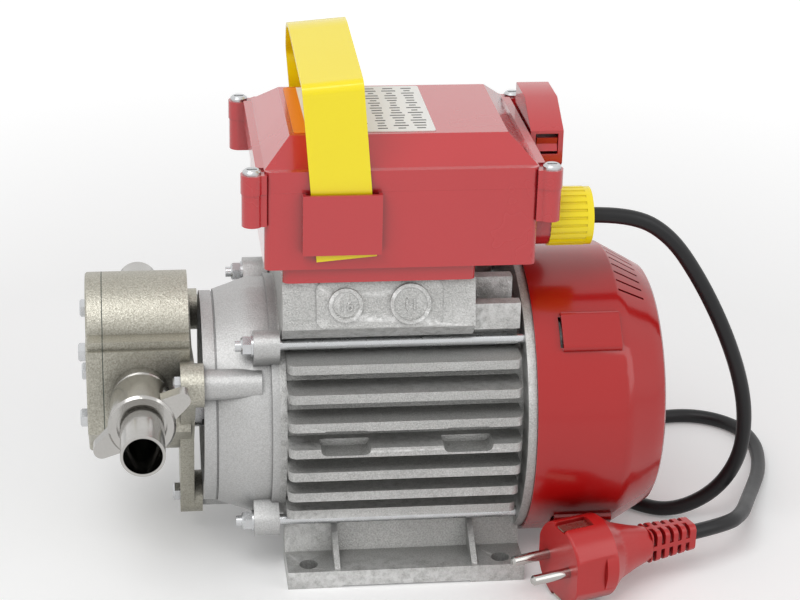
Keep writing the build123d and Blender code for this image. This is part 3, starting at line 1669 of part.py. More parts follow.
rocker_x0 = hood_x0 + (hood_length - rocker_width) / 2
with BuildPart() as rocker:
    with BuildSketch(on_shaft(rocker_x0, 0)):
        with BuildLine():
            Polyline(
                [
                    (rocker_pivot_y + rocker_back, rocker_z - rocker_half_height + 0.8),
                    (rocker_pivot_y + rocker_back, rocker_z + rocker_half_height - 0.8),
                    (rocker_pivot_y - rocker_reach, rocker_z + rocker_half_height),
                    (rocker_pivot_y - rocker_reach + 1.2, rocker_z),
                    (rocker_pivot_y - rocker_reach, rocker_z - rocker_half_height),
                ],
                close=True,
            )
        make_face()
    extrude(amount=rocker_width)
    with BuildSketch(on_shaft(hood_x0 + 1.5, 0)):
        with Locations((rocker_pivot_y, rocker_z)):
            Circle(rocker_pin_r)
    extrude(amount=hood_length - 3.0)
save(rocker.part, "switch_rocker")

# Plug, lying on its side on the floor
plug_heading = (plug_along[0], plug_along[1], 0)
plug_plane = Plane(origin=on_plug(0), x_dir=plug_heading, z_dir=(plug_along[1], -plug_along[0], 0))
plug_axis = Axis(on_plug(0), plug_heading)


def across_plug(distance):
    """Plane across the plug: its own x is sideways and its own y is up."""
    sideways = (-plug_along[1], plug_along[0], 0)
    return Plane(origin=on_plug(distance), x_dir=sideways, z_dir=plug_heading)


with BuildPart() as plug_body:
    with BuildSketch(plug_plane):
        with BuildLine():
            Polyline(
                [
                    (0, 0),
                    (0, plug_r - 0.8),
                    (0.8, plug_r),
                    (plug_straight, plug_r),
                    (plug_straight + 7, plug_r - 5.5),
                    (plug_length - 8, plug_r - 9.0),
                    (plug_length, plug_neck_r),
                    (plug_length, 0),
                ],
                close=True,
            )
        make_face()
    revolve(axis=plug_axis)
    for side in (-1, 1):
        # flats for the thumb, earth channels and the pin sockets
        with BuildSketch(across_plug(-1)):
            with Locations((side * (plug_r + 1.2), 0)):
                Rectangle(6, 2 * plug_r)
            with Locations((0, side * (plug_r - 0.8))):
                Rectangle(9, 3.6)
        extrude(amount=plug_straight - 5, mode=Mode.SUBTRACT)
        with BuildSketch(across_plug(0)):
            with Locations((side * pin_spacing / 2, 0)):
                Circle(pin_root_r + fit)
        extrude(amount=12, mode=Mode.SUBTRACT)
save(plug_body.part, "plug_body")

with BuildPart() as plug_pins:
    with BuildSketch(across_plug(-pin_length)):
        with Locations((-pin_spacing / 2, 0), (pin_spacing / 2, 0)):
            Circle(pin_r)
    extrude(amount=pin_length)
    with BuildSketch(across_plug(0)):
        with Locations((-pin_spacing / 2, 0), (pin_spacing / 2, 0)):
            Circle(pin_root_r)
    extrude(amount=11.5)
    pin_tips = plug_pins.faces().sort_by(plug_axis)[:2]
    chamfer(pin_tips.edges(), 1.0)
save(plug_pins.part, "plug_pins")

with BuildPart() as earth_contacts:
    with BuildSketch(across_plug(0.4)):
        with Locations((0, plug_r - 2.1), (0, 2.1 - plug_r)):
            Rectangle(5.5, 0.8)
    extrude(amount=plug_straight - 6.6)
save(earth_contacts.part, "earth_contacts")

with BuildPart() as plug_relief:
    with BuildSketch(across_plug(plug_length)):
        RectangleRounded(relief_width, relief_height, 3)
    with BuildSketch(across_plug(plug_back)):
        RectangleRounded(relief_end_width, relief_end_height, 3)
    loft()
    # slots in each corner, with a spine left along each side
    for k in range(relief_slots):
        with BuildSketch(across_plug(plug_length + 1.0 + relief_slot_pitch * k)):
            Rectangle(relief_width + 2, relief_height + 2)
            Circle(relief_core_r, mode=Mode.SUBTRACT)
            Rectangle(relief_spine, relief_height + 4, mode=Mode.SUBTRACT)
            Rectangle(relief_width + 4, relief_spine, mode=Mode.SUBTRACT)
        extrude(amount=relief_slot_width, mode=Mode.SUBTRACT)
save(plug_relief.part, "plug_relief")


# Mains lead: two tubes of straight runs joined by tangent arcs, and a plain ring for the coil
def bend_radii(points):
    radii = []
    for a, b, c in zip(points, points[1:], points[2:]):
        before = Vector(*b) - Vector(*a)
        after = Vector(*c) - Vector(*b)
        half_turn = radians(before.get_angle(after)) / 2
        radii.append(0.45 * min(before.length, after.length) / tan(half_turn))
    return radii


def lead_tube(points, name):
    radii = bend_radii(points)
    with BuildPart() as tube:
        with BuildLine() as route:
            FilletPolyline(points, radius=radii)
        with BuildSketch(Plane(origin=points[0], z_dir=Vector(*points[1]) - Vector(*points[0]))):
            Circle(cord_r)
        sweep(path=route.wire())
    length = route.wire().length
    print(name, "radii", [round(r, 1) for r in radii], "length", round(length, 1))
    print(name, "volume", round(tube.part.volume), "section times length", round(pi * cord_r**2 * length))
    save(tube.part, name)


lead_tube(lead_out_points, "lead_from_gland")
lead_tube(lead_in_points, "lead_to_plug")

with BuildPart() as coil:
    with BuildSketch(Plane.XY.offset(coil_base_z)):
        with Locations(coil_centre):
            Circle(coil_mean_r + coil_half_width)
            Circle(coil_mean_r - coil_half_width, mode=Mode.SUBTRACT)
    extrude(amount=coil_height)
    fillet(coil.edges().filter_by(GeomType.CIRCLE), 3.4)
save(coil.part, "lead_coil")

tie_room_width = 2 * coil_half_width + 0.8
tie_room_height = coil_height + 0.4
tie_plane = Plane(
    origin=(coil_centre[0], coil_centre[1] + coil_mean_r, coil_base_z + coil_height / 2),
    x_dir=(0, 1, 0),
    z_dir=(1, 0, 0),
)
with BuildPart() as tie:
    with BuildSketch(tie_plane):
        RectangleRounded(tie_room_width + 2 * tie_thickness, tie_room_height + 2 * tie_thickness, 3)
        RectangleRounded(tie_room_width, tie_room_height, 2.2, mode=Mode.SUBTRACT)
    extrude(amount=tie_width / 2, both=True)
save(tie.part, "coil_tie")
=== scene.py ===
# Electric gear pump: dressed scene for Blender 4.5
from math import cos, radians, sin, sqrt

import bmesh
import bpy
from mathutils import Matrix, Vector


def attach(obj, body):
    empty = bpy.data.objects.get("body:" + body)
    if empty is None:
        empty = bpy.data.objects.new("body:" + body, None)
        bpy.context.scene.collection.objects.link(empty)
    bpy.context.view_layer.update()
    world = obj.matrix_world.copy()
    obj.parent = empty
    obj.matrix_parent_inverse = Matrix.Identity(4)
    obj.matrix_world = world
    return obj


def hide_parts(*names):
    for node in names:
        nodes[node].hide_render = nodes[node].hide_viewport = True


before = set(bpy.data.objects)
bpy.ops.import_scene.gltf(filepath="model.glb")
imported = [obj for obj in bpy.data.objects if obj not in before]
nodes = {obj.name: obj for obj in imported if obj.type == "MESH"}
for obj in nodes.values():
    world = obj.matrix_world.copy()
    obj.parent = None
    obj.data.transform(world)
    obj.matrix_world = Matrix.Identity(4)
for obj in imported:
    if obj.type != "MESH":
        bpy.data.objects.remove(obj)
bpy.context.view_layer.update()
mm = 0.001
housing = "pump_and_motor"
scene = bpy.context.scene
scene.view_settings.view_transform = "Standard"
print("frame loaded,", len(nodes), "nodes")

camera = {
    "place": (-0.1224, -0.9487, 0.5196),
    "yaw": 7.475,  # degrees towards +X
    "pitch": 22.82,  # degrees down
    "roll": 1.417,
    "lens": 99.2,
    "sensor": 36,
}


def makeCamera():
    yaw, pitch, roll = (radians(camera[k]) for k in ("yaw", "pitch", "roll"))
    ahead = Vector((sin(yaw) * cos(pitch), cos(yaw) * cos(pitch), -sin(pitch)))
    right = Vector((cos(yaw), -sin(yaw), 0))
    up = right.cross(ahead)
    rolledRight = right * cos(roll) + up * sin(roll)
    rolledUp = up * cos(roll) - right * sin(roll)
    turn = Matrix((rolledRight, rolledUp, -ahead)).transposed()
    data = bpy.data.cameras.new("studioCamera")
    data.lens = camera["lens"]
    data.sensor_width = camera["sensor"]
    shooter = bpy.data.objects.new("studioCamera", data)
    shooter.matrix_world = Matrix.Translation(camera["place"]) @ turn.to_4x4()
    scene.collection.objects.link(shooter)
    scene.camera = shooter


makeCamera()
print("camera placed")

# Mains lead, one spline from the gland through the coil to the plug; millimetres here
lead = {
    "radius": 3.65,
    "floor": 3.75,  # height of the lead's axis where it lies down
    "coilCentre": (58.0, 120.0),
    "rowRadii": (43.8, 36.5),
    "rowHeights": (4.95, 12.25),
    "fullTurns": 3,
    "turnSteps": 16,
    "entryAngle": 254.2,
    "leaveAngle": 18.2,
    "swapArc": 50.0,  # degrees over which a turn moves to the next row
    "sectionSteps": 5,
    "pathSteps": 8,
}
leadOut = [
    (83.4, -30.0, 169.2),
    (103.0, -30.0, 169.2),
    (122.0, -29.0, 158.5),
    (138.0, -27.5, 136.0),
    (153.5, -25.0, 107.0),
    (164.5, -22.0, 79.0),
    (169.3, -18.8, 55.0),
    (168.0, -16.0, 33.0),
    (157.3, -13.0, 14.5),
    (138.7, -9.0, lead["floor"]),
    (122.0, 0.0, lead["floor"]),
    (111.5, 17.5, lead["floor"]),
    (108.0, 38.5, lead["floor"]),
    (98.5, 58.0, lead["floor"]),
    (81.0, 71.0, lead["floor"]),
    (61.0, 76.4, 4.2),
]
leadIn = [
    (102.3, 119.0, 10.65),
    (111.6, 104.0, 7.0),
    (128.3, 95.5, lead["floor"]),
    (150.5, 95.0, lead["floor"]),
    (171.0, 98.0, lead["floor"]),
    (186.5, 92.0, lead["floor"]),
    (196.8, 80.0, lead["floor"]),
    (200.3, 64.0, lead["floor"]),
    (198.2, 46.0, lead["floor"]),
    (192.5, 26.5, 4.3),
    (184.0, 7.0, 6.5),
    (175.5, -13.0, 10.0),
    (167.0, -34.0, 14.5),
    (154.46, -52.88, 19.6),
    (134.13, -59.88, 19.6),
]


def coilPoints():
    outer, inner = lead["rowRadii"]
    low, high = lead["rowHeights"]
    rows = [(outer, low), (inner, low), (inner, high), (outer, high)]
    span = lead["entryAngle"] - lead["leaveAngle"] + 360 * lead["fullTurns"]
    step = 360 / lead["turnSteps"]
    bulge = 1 / cos(radians(step / 2))  # a quadratic spline runs inside its points
    count = int(span / step)
    last = len(rows) - 1
    points = []
    for i in range(1, count + 1):
        passed = span * i / count
        row = min(last, int(passed / 360))
        into = passed - 360 * row
        blend = max(0.0, (into - 360 + lead["swapArc"]) / lead["swapArc"])
        upper = rows[min(last, row + 1)]
        radius = rows[row][0] * (1 - blend) + upper[0] * blend
        height = rows[row][1] * (1 - blend) + upper[1] * blend
        angle = radians(lead["entryAngle"] - passed)
        x = lead["coilCentre"][0] + radius * bulge * cos(angle)
        y = lead["coilCentre"][1] + radius * bulge * sin(angle)
        points.append((x, y, height))
    return points


def splineLength(curveObject):
    line = curveObject.copy()
    line.data = curveObject.data.copy()
    line.data.bevel_depth = 0
    scene.collection.objects.link(line)
    bpy.context.view_layer.update()
    mesh = bpy.data.meshes.new_from_object(line.evaluated_get(bpy.context.evaluated_depsgraph_get()))
    places = [v.co for v in mesh.vertices]
    total = sum((places[e.vertices[0]] - places[e.vertices[1]]).length for e in mesh.edges)
    bpy.data.meshes.remove(mesh)
    bpy.data.objects.remove(line)
    return total


def makeLead():
    data = bpy.data.curves.new("mainsLead", "CURVE")
    data.dimensions = "3D"
    data.bevel_depth = lead["radius"] * mm
    data.bevel_resolution = lead["sectionSteps"]
    data.resolution_u = lead["pathSteps"]
    data.use_fill_caps = True
    route = [Vector(p) * mm for p in leadOut + coilPoints() + leadIn]
    spline = data.splines.new("NURBS")
    spline.points.add(len(route) - 1)
    for point, place in zip(spline.points, route):
        point.co = (*place, 1)
    spline.order_u = 3
    spline.use_endpoint_u = True
    cord = bpy.data.objects.new("mainsLead", data)
    scene.collection.objects.link(cord)
    return cord


mainsLead = makeLead()
leadLength = splineLength(mainsLead)
print("lead made, length", round(leadLength, 3))


# Shader groups that several finishes share
surface = {
    "patchEdges": (0.3, 0.7),  # noise values between which a patch fades in
    "patchLean": 0.35,  # how far a full patch goes to the dark tone
    "speckEdges": (0.35, 0.65),
    "wearFrom": 0.52,  # pointiness at which wear starts
    "wearBreaks": (0.3, 0.6),
    "wearBreakScale": 300.0,
    # reach and edges of the painted shade that darkens gaps and inner corners
    "paintedShadeReach": 0.012,  # metres that count as a gap
    "paintedShadeEdges": (0.25, 0.9),
}


def shaderGroup(name, inputs, outputs):
    group = bpy.data.node_groups.new(name, "ShaderNodeTree")
    for label, kind, value in inputs:
        socket = group.interface.new_socket(label, in_out="INPUT", socket_type=kind)
        socket.default_value = value
    for label, kind in outputs:
        group.interface.new_socket(label, in_out="OUTPUT", socket_type=kind)
    return group, group.nodes.new("NodeGroupInput"), group.nodes.new("NodeGroupOutput")


def addNode(tree, kind, **settings):
    node = tree.nodes.new(kind)
    for key, value in settings.items():
        setattr(node, key, value)
    return node


def mathsNode(tree, kind, first, second, clamp=False):
    maths = addNode(tree, "ShaderNodeMath", operation=kind, use_clamp=clamp)
    for socket, value in zip(maths.inputs, (first, second)):
        if isinstance(value, (int, float)):
            socket.default_value = value
        else:
            tree.links.new(value, socket)
    return maths.outputs[0]


def noiseNode(tree, coords, scaleSocket, detail=4, roughness=0.6):
    noise = addNode(tree, "ShaderNodeTexNoise")
    noise.inputs["Detail"].default_value = detail
    noise.inputs["Roughness"].default_value = roughness
    tree.links.new(coords.outputs["Object"], noise.inputs["Vector"])
    tree.links.new(scaleSocket, noise.inputs["Scale"])
    return noise


def rangeNode(tree, value, low, high, toLow, toHigh):
    ramp = addNode(tree, "ShaderNodeMapRange")
    ramp.inputs["From Min"].default_value = low
    ramp.inputs["From Max"].default_value = high
    ramp.inputs["To Min"].default_value = toLow
    ramp.inputs["To Max"].default_value = toHigh
    tree.links.new(value, ramp.inputs["Value"])
    return ramp.outputs["Result"]


def mixColours(tree, factor, first, second, blend="MIX"):
    mix = addNode(tree, "ShaderNodeMix", data_type="RGBA", blend_type=blend)
    if isinstance(factor, float):
        mix.inputs["Factor"].default_value = factor
    else:
        tree.links.new(factor, mix.inputs["Factor"])
    for socket, source in ((mix.inputs[6], first), (mix.inputs[7], second)):
        if isinstance(source, tuple):
            socket.default_value = source
        else:
            tree.links.new(source, socket)
    return mix.outputs[2]


def makeMottleGroup():
    # slow change of colour and gloss over a surface, with fine specks
    group, entry, leave = shaderGroup(
        "mottle",
        [
            ("Light", "NodeSocketColor", (0.6, 0.6, 0.6, 1)),
            ("Dark", "NodeSocketColor", (0.4, 0.4, 0.4, 1)),
            ("Patch Scale", "NodeSocketFloat", 30.0),
            ("Speck Scale", "NodeSocketFloat", 900.0),
            ("Speck Amount", "NodeSocketFloat", 0.3),
        ],
        [("Color", "NodeSocketColor"), ("Mask", "NodeSocketFloat")],
    )
    coords = addNode(group, "ShaderNodeTexCoord")
    patches = noiseNode(group, coords, entry.outputs["Patch Scale"])
    specks = noiseNode(group, coords, entry.outputs["Speck Scale"], detail=2)
    mask = rangeNode(group, patches.outputs["Fac"], *surface["patchEdges"], 0, 1)
    speckMask = rangeNode(group, specks.outputs["Fac"], *surface["speckEdges"], 0, 1)
    scaled = mathsNode(group, "MULTIPLY", speckMask, entry.outputs["Speck Amount"])
    lean = rangeNode(group, mask, 0, 1, 0, surface["patchLean"])
    patched = mixColours(group, lean, entry.outputs["Light"], entry.outputs["Dark"])
    specked = mixColours(group, scaled, patched, entry.outputs["Dark"])
    group.links.new(specked, leave.inputs["Color"])
    group.links.new(mask, leave.inputs["Mask"])
    return group


def makeGrainGroup():
    # height of a fine cast, ground or moulded surface
    group, entry, leave = shaderGroup(
        "surfaceGrain",
        [
            ("Fine Scale", "NodeSocketFloat", 1500.0),
            ("Coarse Scale", "NodeSocketFloat", 200.0),
            ("Coarse Share", "NodeSocketFloat", 0.4),
        ],
        [("Height", "NodeSocketFloat")],
    )
    coords = addNode(group, "ShaderNodeTexCoord")
    fine = noiseNode(group, coords, entry.outputs["Fine Scale"], detail=3)
    coarse = noiseNode(group, coords, entry.outputs["Coarse Scale"], detail=3)
    mix = addNode(group, "ShaderNodeMix", data_type="FLOAT")
    group.links.new(entry.outputs["Coarse Share"], mix.inputs["Factor"])
    group.links.new(fine.outputs["Fac"], mix.inputs[2])
    group.links.new(coarse.outputs["Fac"], mix.inputs[3])
    group.links.new(mix.outputs[0], leave.inputs["Height"])
    return group


def makeWearGroup():
    # mask that is bright along outer edges, broken up by noise
    group, entry, leave = shaderGroup(
        "edgeWear",
        [("Sharpness", "NodeSocketFloat", 6.0), ("Break Scale", "NodeSocketFloat", 250.0)],
        [("Mask", "NodeSocketFloat")],
    )
    coords = addNode(group, "ShaderNodeTexCoord")
    shape = addNode(group, "ShaderNodeNewGeometry")
    lifted = mathsNode(group, "SUBTRACT", shape.outputs["Pointiness"], surface["wearFrom"])
    sharp = mathsNode(group, "MULTIPLY", lifted, entry.outputs["Sharpness"])
    noise = noiseNode(group, coords, entry.outputs["Break Scale"], detail=3)
    broken = rangeNode(group, noise.outputs["Fac"], *surface["wearBreaks"], 0, 1)
    group.links.new(mathsNode(group, "MULTIPLY", sharp, broken, clamp=True), leave.inputs["Mask"])
    return group


def makePaintedShadeGroup():
    # painted shade: colour sinks towards a dark tone in gaps and inner corners, where ambient occlusion
    # finds them
    group, entry, leave = shaderGroup(
        "recessPaintedShade",
        [("Base", "NodeSocketColor", (0.5, 0.5, 0.5, 1)), ("Darkest", "NodeSocketFloat", 0.4)],
        [("Color", "NodeSocketColor")],
    )
    hollow = addNode(group, "ShaderNodeAmbientOcclusion", samples=8)
    hollow.inputs["Distance"].default_value = surface["paintedShadeReach"]
    factor = rangeNode(group, hollow.outputs["AO"], *surface["paintedShadeEdges"], 0, 1)
    shade = addNode(group, "ShaderNodeMix", data_type="FLOAT")
    group.links.new(factor, shade.inputs["Factor"])
    group.links.new(entry.outputs["Darkest"], shade.inputs[2])
    shade.inputs[3].default_value = 1
    grey = addNode(group, "ShaderNodeCombineColor")
    for channel in grey.inputs:
        group.links.new(shade.outputs[0], channel)
    product = mixColours(group, 1.0, entry.outputs["Base"], grey.outputs[0], blend="MULTIPLY")
    group.links.new(product, leave.inputs["Color"])
    return group


mottle = makeMottleGroup()
recessPaintedShade = makePaintedShadeGroup()
surfaceGrain = makeGrainGroup()
edgeWear = makeWearGroup()


def placeGroup(tree, group, **values):
    placed = addNode(tree, "ShaderNodeGroup", node_tree=group)
    for key, value in values.items():
        placed.inputs[key.replace("_", " ")].default_value = value
    return placed


def makeFinish(name, look):
    material = bpy.data.materials.new(name)
    material.use_nodes = True
    tree = material.node_tree
    shader = tree.nodes["Principled BSDF"]
    light, dark = ((*look[k], 1) for k in ("light", "dark"))
    base = placeGroup(
        tree,
        mottle,
        Light=light,
        Dark=dark,
        Patch_Scale=look.get("patch", 30.0),
        Speck_Scale=look.get("speck", 900.0),
        Speck_Amount=look.get("speckAmount", 0.2),
    )
    colour = base.outputs["Color"]
    if "wear" in look:
        sharpness = look.get("wearSharpness", 6.0)
        worn = placeGroup(tree, edgeWear, Sharpness=sharpness, Break_Scale=surface["wearBreakScale"])
        colour = mixColours(tree, worn.outputs["Mask"], colour, (*look["wear"], 1))
    # painted shade: the colour is darkened in gaps and inner corners
    if "paintedShade" in look:
        recessShaded = placeGroup(tree, recessPaintedShade, Darkest=look["paintedShade"])
        tree.links.new(colour, recessShaded.inputs["Base"])
        colour = recessShaded.outputs["Color"]
    tree.links.new(colour, shader.inputs["Base Color"])
    low, high = look["rough"]
    tree.links.new(rangeNode(tree, base.outputs["Mask"], 0, 1, low, high), shader.inputs["Roughness"])
    grain = placeGroup(
        tree,
        surfaceGrain,
        Fine_Scale=look.get("fine", 1500.0),
        Coarse_Scale=look.get("coarse", 200.0),
        Coarse_Share=look.get("share", 0.4),
    )
    bump = addNode(tree, "ShaderNodeBump")
    bump.inputs["Strength"].default_value = look.get("bump", 0.2)
    bump.inputs["Distance"].default_value = look.get("depth", 0.2) * mm
    tree.links.new(grain.outputs["Height"], bump.inputs["Height"])
    tree.links.new(bump.outputs["Normal"], shader.inputs["Normal"])
    shader.inputs["Metallic"].default_value = look.get("metal", 0.0)
    shader.inputs["IOR"].default_value = look.get("ior", 1.5)
    shader.inputs["Coat Weight"].default_value = look.get("coat", 0.0)
    shader.inputs["Coat Roughness"].default_value = look.get("coatRough", 0.1)
    shader.inputs["Specular IOR Level"].default_value = look.get("specular", 0.5)
    return material


# bump is the strength of the grain and depth its height in millimetres; scales are per metre; the shade
# value is the darkest tone of the painted shade in gaps and inner corners
finishes = {
    "castAluminium": {
        "light": (0.60, 0.60, 0.585), "dark": (0.33, 0.33, 0.32), "rough": (0.42, 0.52), "metal": 0.7,
        "patch": 30.0, "speck": 1500.0, "speckAmount": 0.8, "bump": 1.0, "depth": 0.5, "fine": 1300.0,
        "coarse": 650.0, "share": 0.35, "wear": (0.78, 0.78, 0.77), "wearSharpness": 5.0, "paintedShade": 0.75,
    },
    "smoothAluminium": {
        "light": (0.60, 0.60, 0.595), "dark": (0.40, 0.40, 0.395), "rough": (0.40, 0.50), "metal": 0.7,
        "patch": 18.0, "speck": 1600.0, "speckAmount": 0.7, "bump": 0.8, "depth": 0.35, "fine": 1400.0,
        "coarse": 500.0, "paintedShade": 0.35,
    },
    "nickelCasting": {
        "light": (0.56, 0.545, 0.475), "dark": (0.30, 0.285, 0.235), "rough": (0.34, 0.46), "metal": 0.8,
        "patch": 26.0, "speck": 1300.0, "speckAmount": 0.75, "bump": 0.9, "depth": 0.4, "fine": 1200.0,
        "coarse": 420.0, "paintedShade": 0.25,
    },
    "brightNickel": {
        "light": (0.50, 0.49, 0.47), "dark": (0.40, 0.39, 0.37), "rough": (0.12, 0.24), "metal": 1.0,
        "patch": 40.0, "speckAmount": 0.25, "bump": 0.3, "depth": 0.14, "fine": 700.0, "coarse": 160.0,
        "share": 0.7,
    },
    "zincSteel": {
        "light": (0.62, 0.63, 0.64), "dark": (0.48, 0.49, 0.50), "rough": (0.20, 0.34), "metal": 1.0,
        "patch": 120.0, "bump": 0.2, "depth": 0.1,
    },
    "groundSteel": {
        "light": (0.55, 0.55, 0.56), "dark": (0.45, 0.45, 0.46), "rough": (0.22, 0.34), "metal": 1.0,
        "patch": 80.0, "bump": 0.12, "depth": 0.1,
    },
    "coreSteel": {
        "light": (0.20, 0.20, 0.22), "dark": (0.12, 0.12, 0.13), "rough": (0.45, 0.6), "metal": 0.7,
        "bump": 0.3, "depth": 0.15,
    },
    "copperWire": {
        "light": (0.60, 0.26, 0.11), "dark": (0.44, 0.16, 0.06), "rough": (0.25, 0.4), "metal": 0.9,
        "patch": 200.0, "bump": 0.5, "depth": 0.3,
    },
    "bronze": {
        "light": (0.62, 0.58, 0.48), "dark": (0.50, 0.46, 0.36), "rough": (0.22, 0.34), "metal": 1.0,
        "bump": 0.15, "depth": 0.1,
    },
    "redHousing": {
        "light": (0.56, 0.016, 0.022), "dark": (0.48, 0.010, 0.016), "rough": (0.22, 0.30), "coat": 1.0,
        "coatRough": 0.10, "patch": 14.0, "speckAmount": 0.1, "bump": 0.14, "depth": 0.08, "fine": 700.0,
        "coarse": 45.0, "share": 0.6, "paintedShade": 0.4,
    },
    "redCover": {
        "light": (0.44, 0.005, 0.005), "dark": (0.37, 0.004, 0.004), "rough": (0.20, 0.26), "coat": 0.3,
        "coatRough": 0.09, "patch": 12.0, "speckAmount": 0.05, "bump": 0.12, "depth": 0.08, "fine": 420.0,
        "coarse": 40.0, "share": 0.7, "paintedShade": 0.4,
    },
    "redPlug": {
        "light": (0.50, 0.012, 0.012), "dark": (0.42, 0.009, 0.009), "rough": (0.28, 0.36), "coat": 0.25,
        "coatRough": 0.2, "patch": 40.0, "speckAmount": 0.1, "bump": 0.3, "depth": 0.08, "fine": 900.0,
        "paintedShade": 0.4,
    },
    "yellowStrap": {
        "light": (1.0, 0.82, 0.002), "dark": (0.94, 0.74, 0.002), "rough": (0.20, 0.28), "coat": 0.3,
        "coatRough": 0.12, "patch": 20.0, "speckAmount": 0.06, "bump": 0.2, "depth": 0.08, "fine": 500.0,
        "coarse": 45.0, "share": 0.7, "paintedShade": 0.7,
    },
    "greyMoulding": {
        "light": (0.26, 0.26, 0.27), "dark": (0.20, 0.20, 0.21), "rough": (0.42, 0.55), "bump": 0.3,
        "depth": 0.1,
    },
    "blackMoulding": {
        "light": (0.022, 0.022, 0.023), "dark": (0.014, 0.014, 0.015), "rough": (0.32, 0.42), "bump": 0.25,
        "depth": 0.08,
    },
    "blackRubber": {
        "light": (0.011, 0.011, 0.012), "dark": (0.006, 0.006, 0.007), "rough": (0.34, 0.46), "bump": 0.35,
        "depth": 0.1, "fine": 1600.0, "coarse": 250.0, "specular": 0.35,
    },
    "gasketSheet": {
        "light": (0.10, 0.12, 0.10), "dark": (0.06, 0.07, 0.06), "rough": (0.6, 0.75), "bump": 0.4,
        "depth": 0.1,
    },
}
made = {name: makeFinish(name, look) for name, look in finishes.items()}
print("finishes made:", len(made))

finishOfNode = {
    "castAluminium": ["motor_frame"],
    "smoothAluminium": ["front_shield", "rear_shield"],
    "nickelCasting": ["pump_body", "pump_cover"],
    "brightNickel": [
        "port_nipples", "inlet_hose_tail", "outlet_hose_tail", "inlet_union_nut", "outlet_union_nut",
        "plug_pins",
    ],
    "zincSteel": [
        "tie_rods", "tie_rod_nuts", "tie_rod_washers", "cover_bolts", "flange_bolts", "lid_screws",
        "box_screws", "fan_cover_screws", "fan_clip", "wave_washer",
    ],
    "groundSteel": [
        "motor_shaft", "pump_shaft", "idler_shaft", "drive_gear", "driven_gear", "bearing_outer_rings",
        "bearing_inner_rings", "bearing_balls", "coupling_key", "motor_coupling_half", "pump_coupling_half",
    ],
    "coreSteel": ["stator_core", "rotor_core"],
    "copperWire": ["stator_winding"],
    "bronze": ["shaft_bushes", "earth_contacts"],
    "redHousing": ["control_box_base", "control_box_lid", "switch_hood", "switch_rocker"],
    "redCover": ["fan_cover"],
    "redPlug": ["plug_body", "plug_relief"],
    "yellowStrap": ["handle_strap", "gland_nut"],
    "greyMoulding": ["cooling_fan", "terminal_block", "run_capacitor"],
    "blackMoulding": ["coil_tie"],
    "blackRubber": [
        "lead_from_gland", "lead_to_plug", "lead_coil", "coupling_insert", "shaft_seal", "port_seal_rings",
        "lid_gasket", "gland_seal",
    ],
    "gasketSheet": ["pump_gasket"],
}
for finish, members in finishOfNode.items():
    for member in members:
        data = nodes[member].data
        data.materials.clear()
        data.materials.append(made[finish])

bodyOfNode = {
    "inlet_union_nut": "inlet_nut",
    "outlet_union_nut": "outlet_nut",
    "switch_rocker": "reversing_rocker",
}


# Plain meshes, their shading and their place on a body
def shadeByAngle(mesh, angle):
    shaper = bmesh.new()
    shaper.from_mesh(mesh)
    for face in shaper.faces:
        face.smooth = True
    for edge in shaper.edges:
        edge.smooth = len(edge.link_faces) == 2 and edge.calc_face_angle(0) < radians(angle)
    shaper.to_mesh(mesh)
    shaper.free()


def settle(piece):
    # modifiers become plain mesh
    bpy.context.view_layer.update()
    graph = bpy.context.evaluated_depsgraph_get()
    mesh = bpy.data.meshes.new_from_object(piece.evaluated_get(graph))
    piece.modifiers.clear()
    piece.data = mesh
    return piece


def weighNormals(mesh):
    # wide faces keep their own shading, narrow bevels take up the turn
    holder = bpy.data.objects.new("weighed", mesh)
    scene.collection.objects.link(holder)
    weigh = holder.modifiers.new("weigh", "WEIGHTED_NORMAL")
    weigh.keep_sharp = True
    settle(holder)
    weighed = holder.data
    bpy.data.objects.remove(holder)
    return weighed


def newPiece(name, mesh, finish, body=housing):
    piece = bpy.data.objects.new(name, mesh)
    scene.collection.objects.link(piece)
    mesh.materials.clear()
    mesh.materials.append(made[finish])
    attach(piece, body)
    return piece


# Softened castings and mouldings: a merged copy of the node with small rounded edges
softening = {
    "weld": 2e-6,  # metres
    "flatWithin": 0.6,  # degrees
    "sharpFrom": 32,
    "smoothTo": 40,
    "segments": 2,
    "keptFacets": ["fan_cover"],  # its drum shades cleaner with its own triangles
}
softened = {
    "motor_frame": ("frameCasting", "castAluminium", 0.7),
    "front_shield": ("shieldCasting", "smoothAluminium", 0.6),
    "pump_body": ("pumpCasting", "nickelCasting", 1.0),
    "pump_cover": ("pumpEndPlate", "nickelCasting", 0.5),
    "outlet_union_nut": ("outletWingNut", "brightNickel", 0.9),
    "inlet_union_nut": ("inletWingNut", "brightNickel", 0.9),
    "fan_cover": ("fanCowl", "redCover", 0.8),
    "control_box_base": ("boxBase", "redHousing", 0.8),
    "control_box_lid": ("boxLid", "redHousing", 0.9),
    "switch_hood": ("switchHood", "redHousing", 1.2),
    "plug_body": ("plugShell", "redPlug", 0.7),
    "plug_relief": ("plugStrainRelief", "redPlug", 0.3),
}  # edge width in millimetres


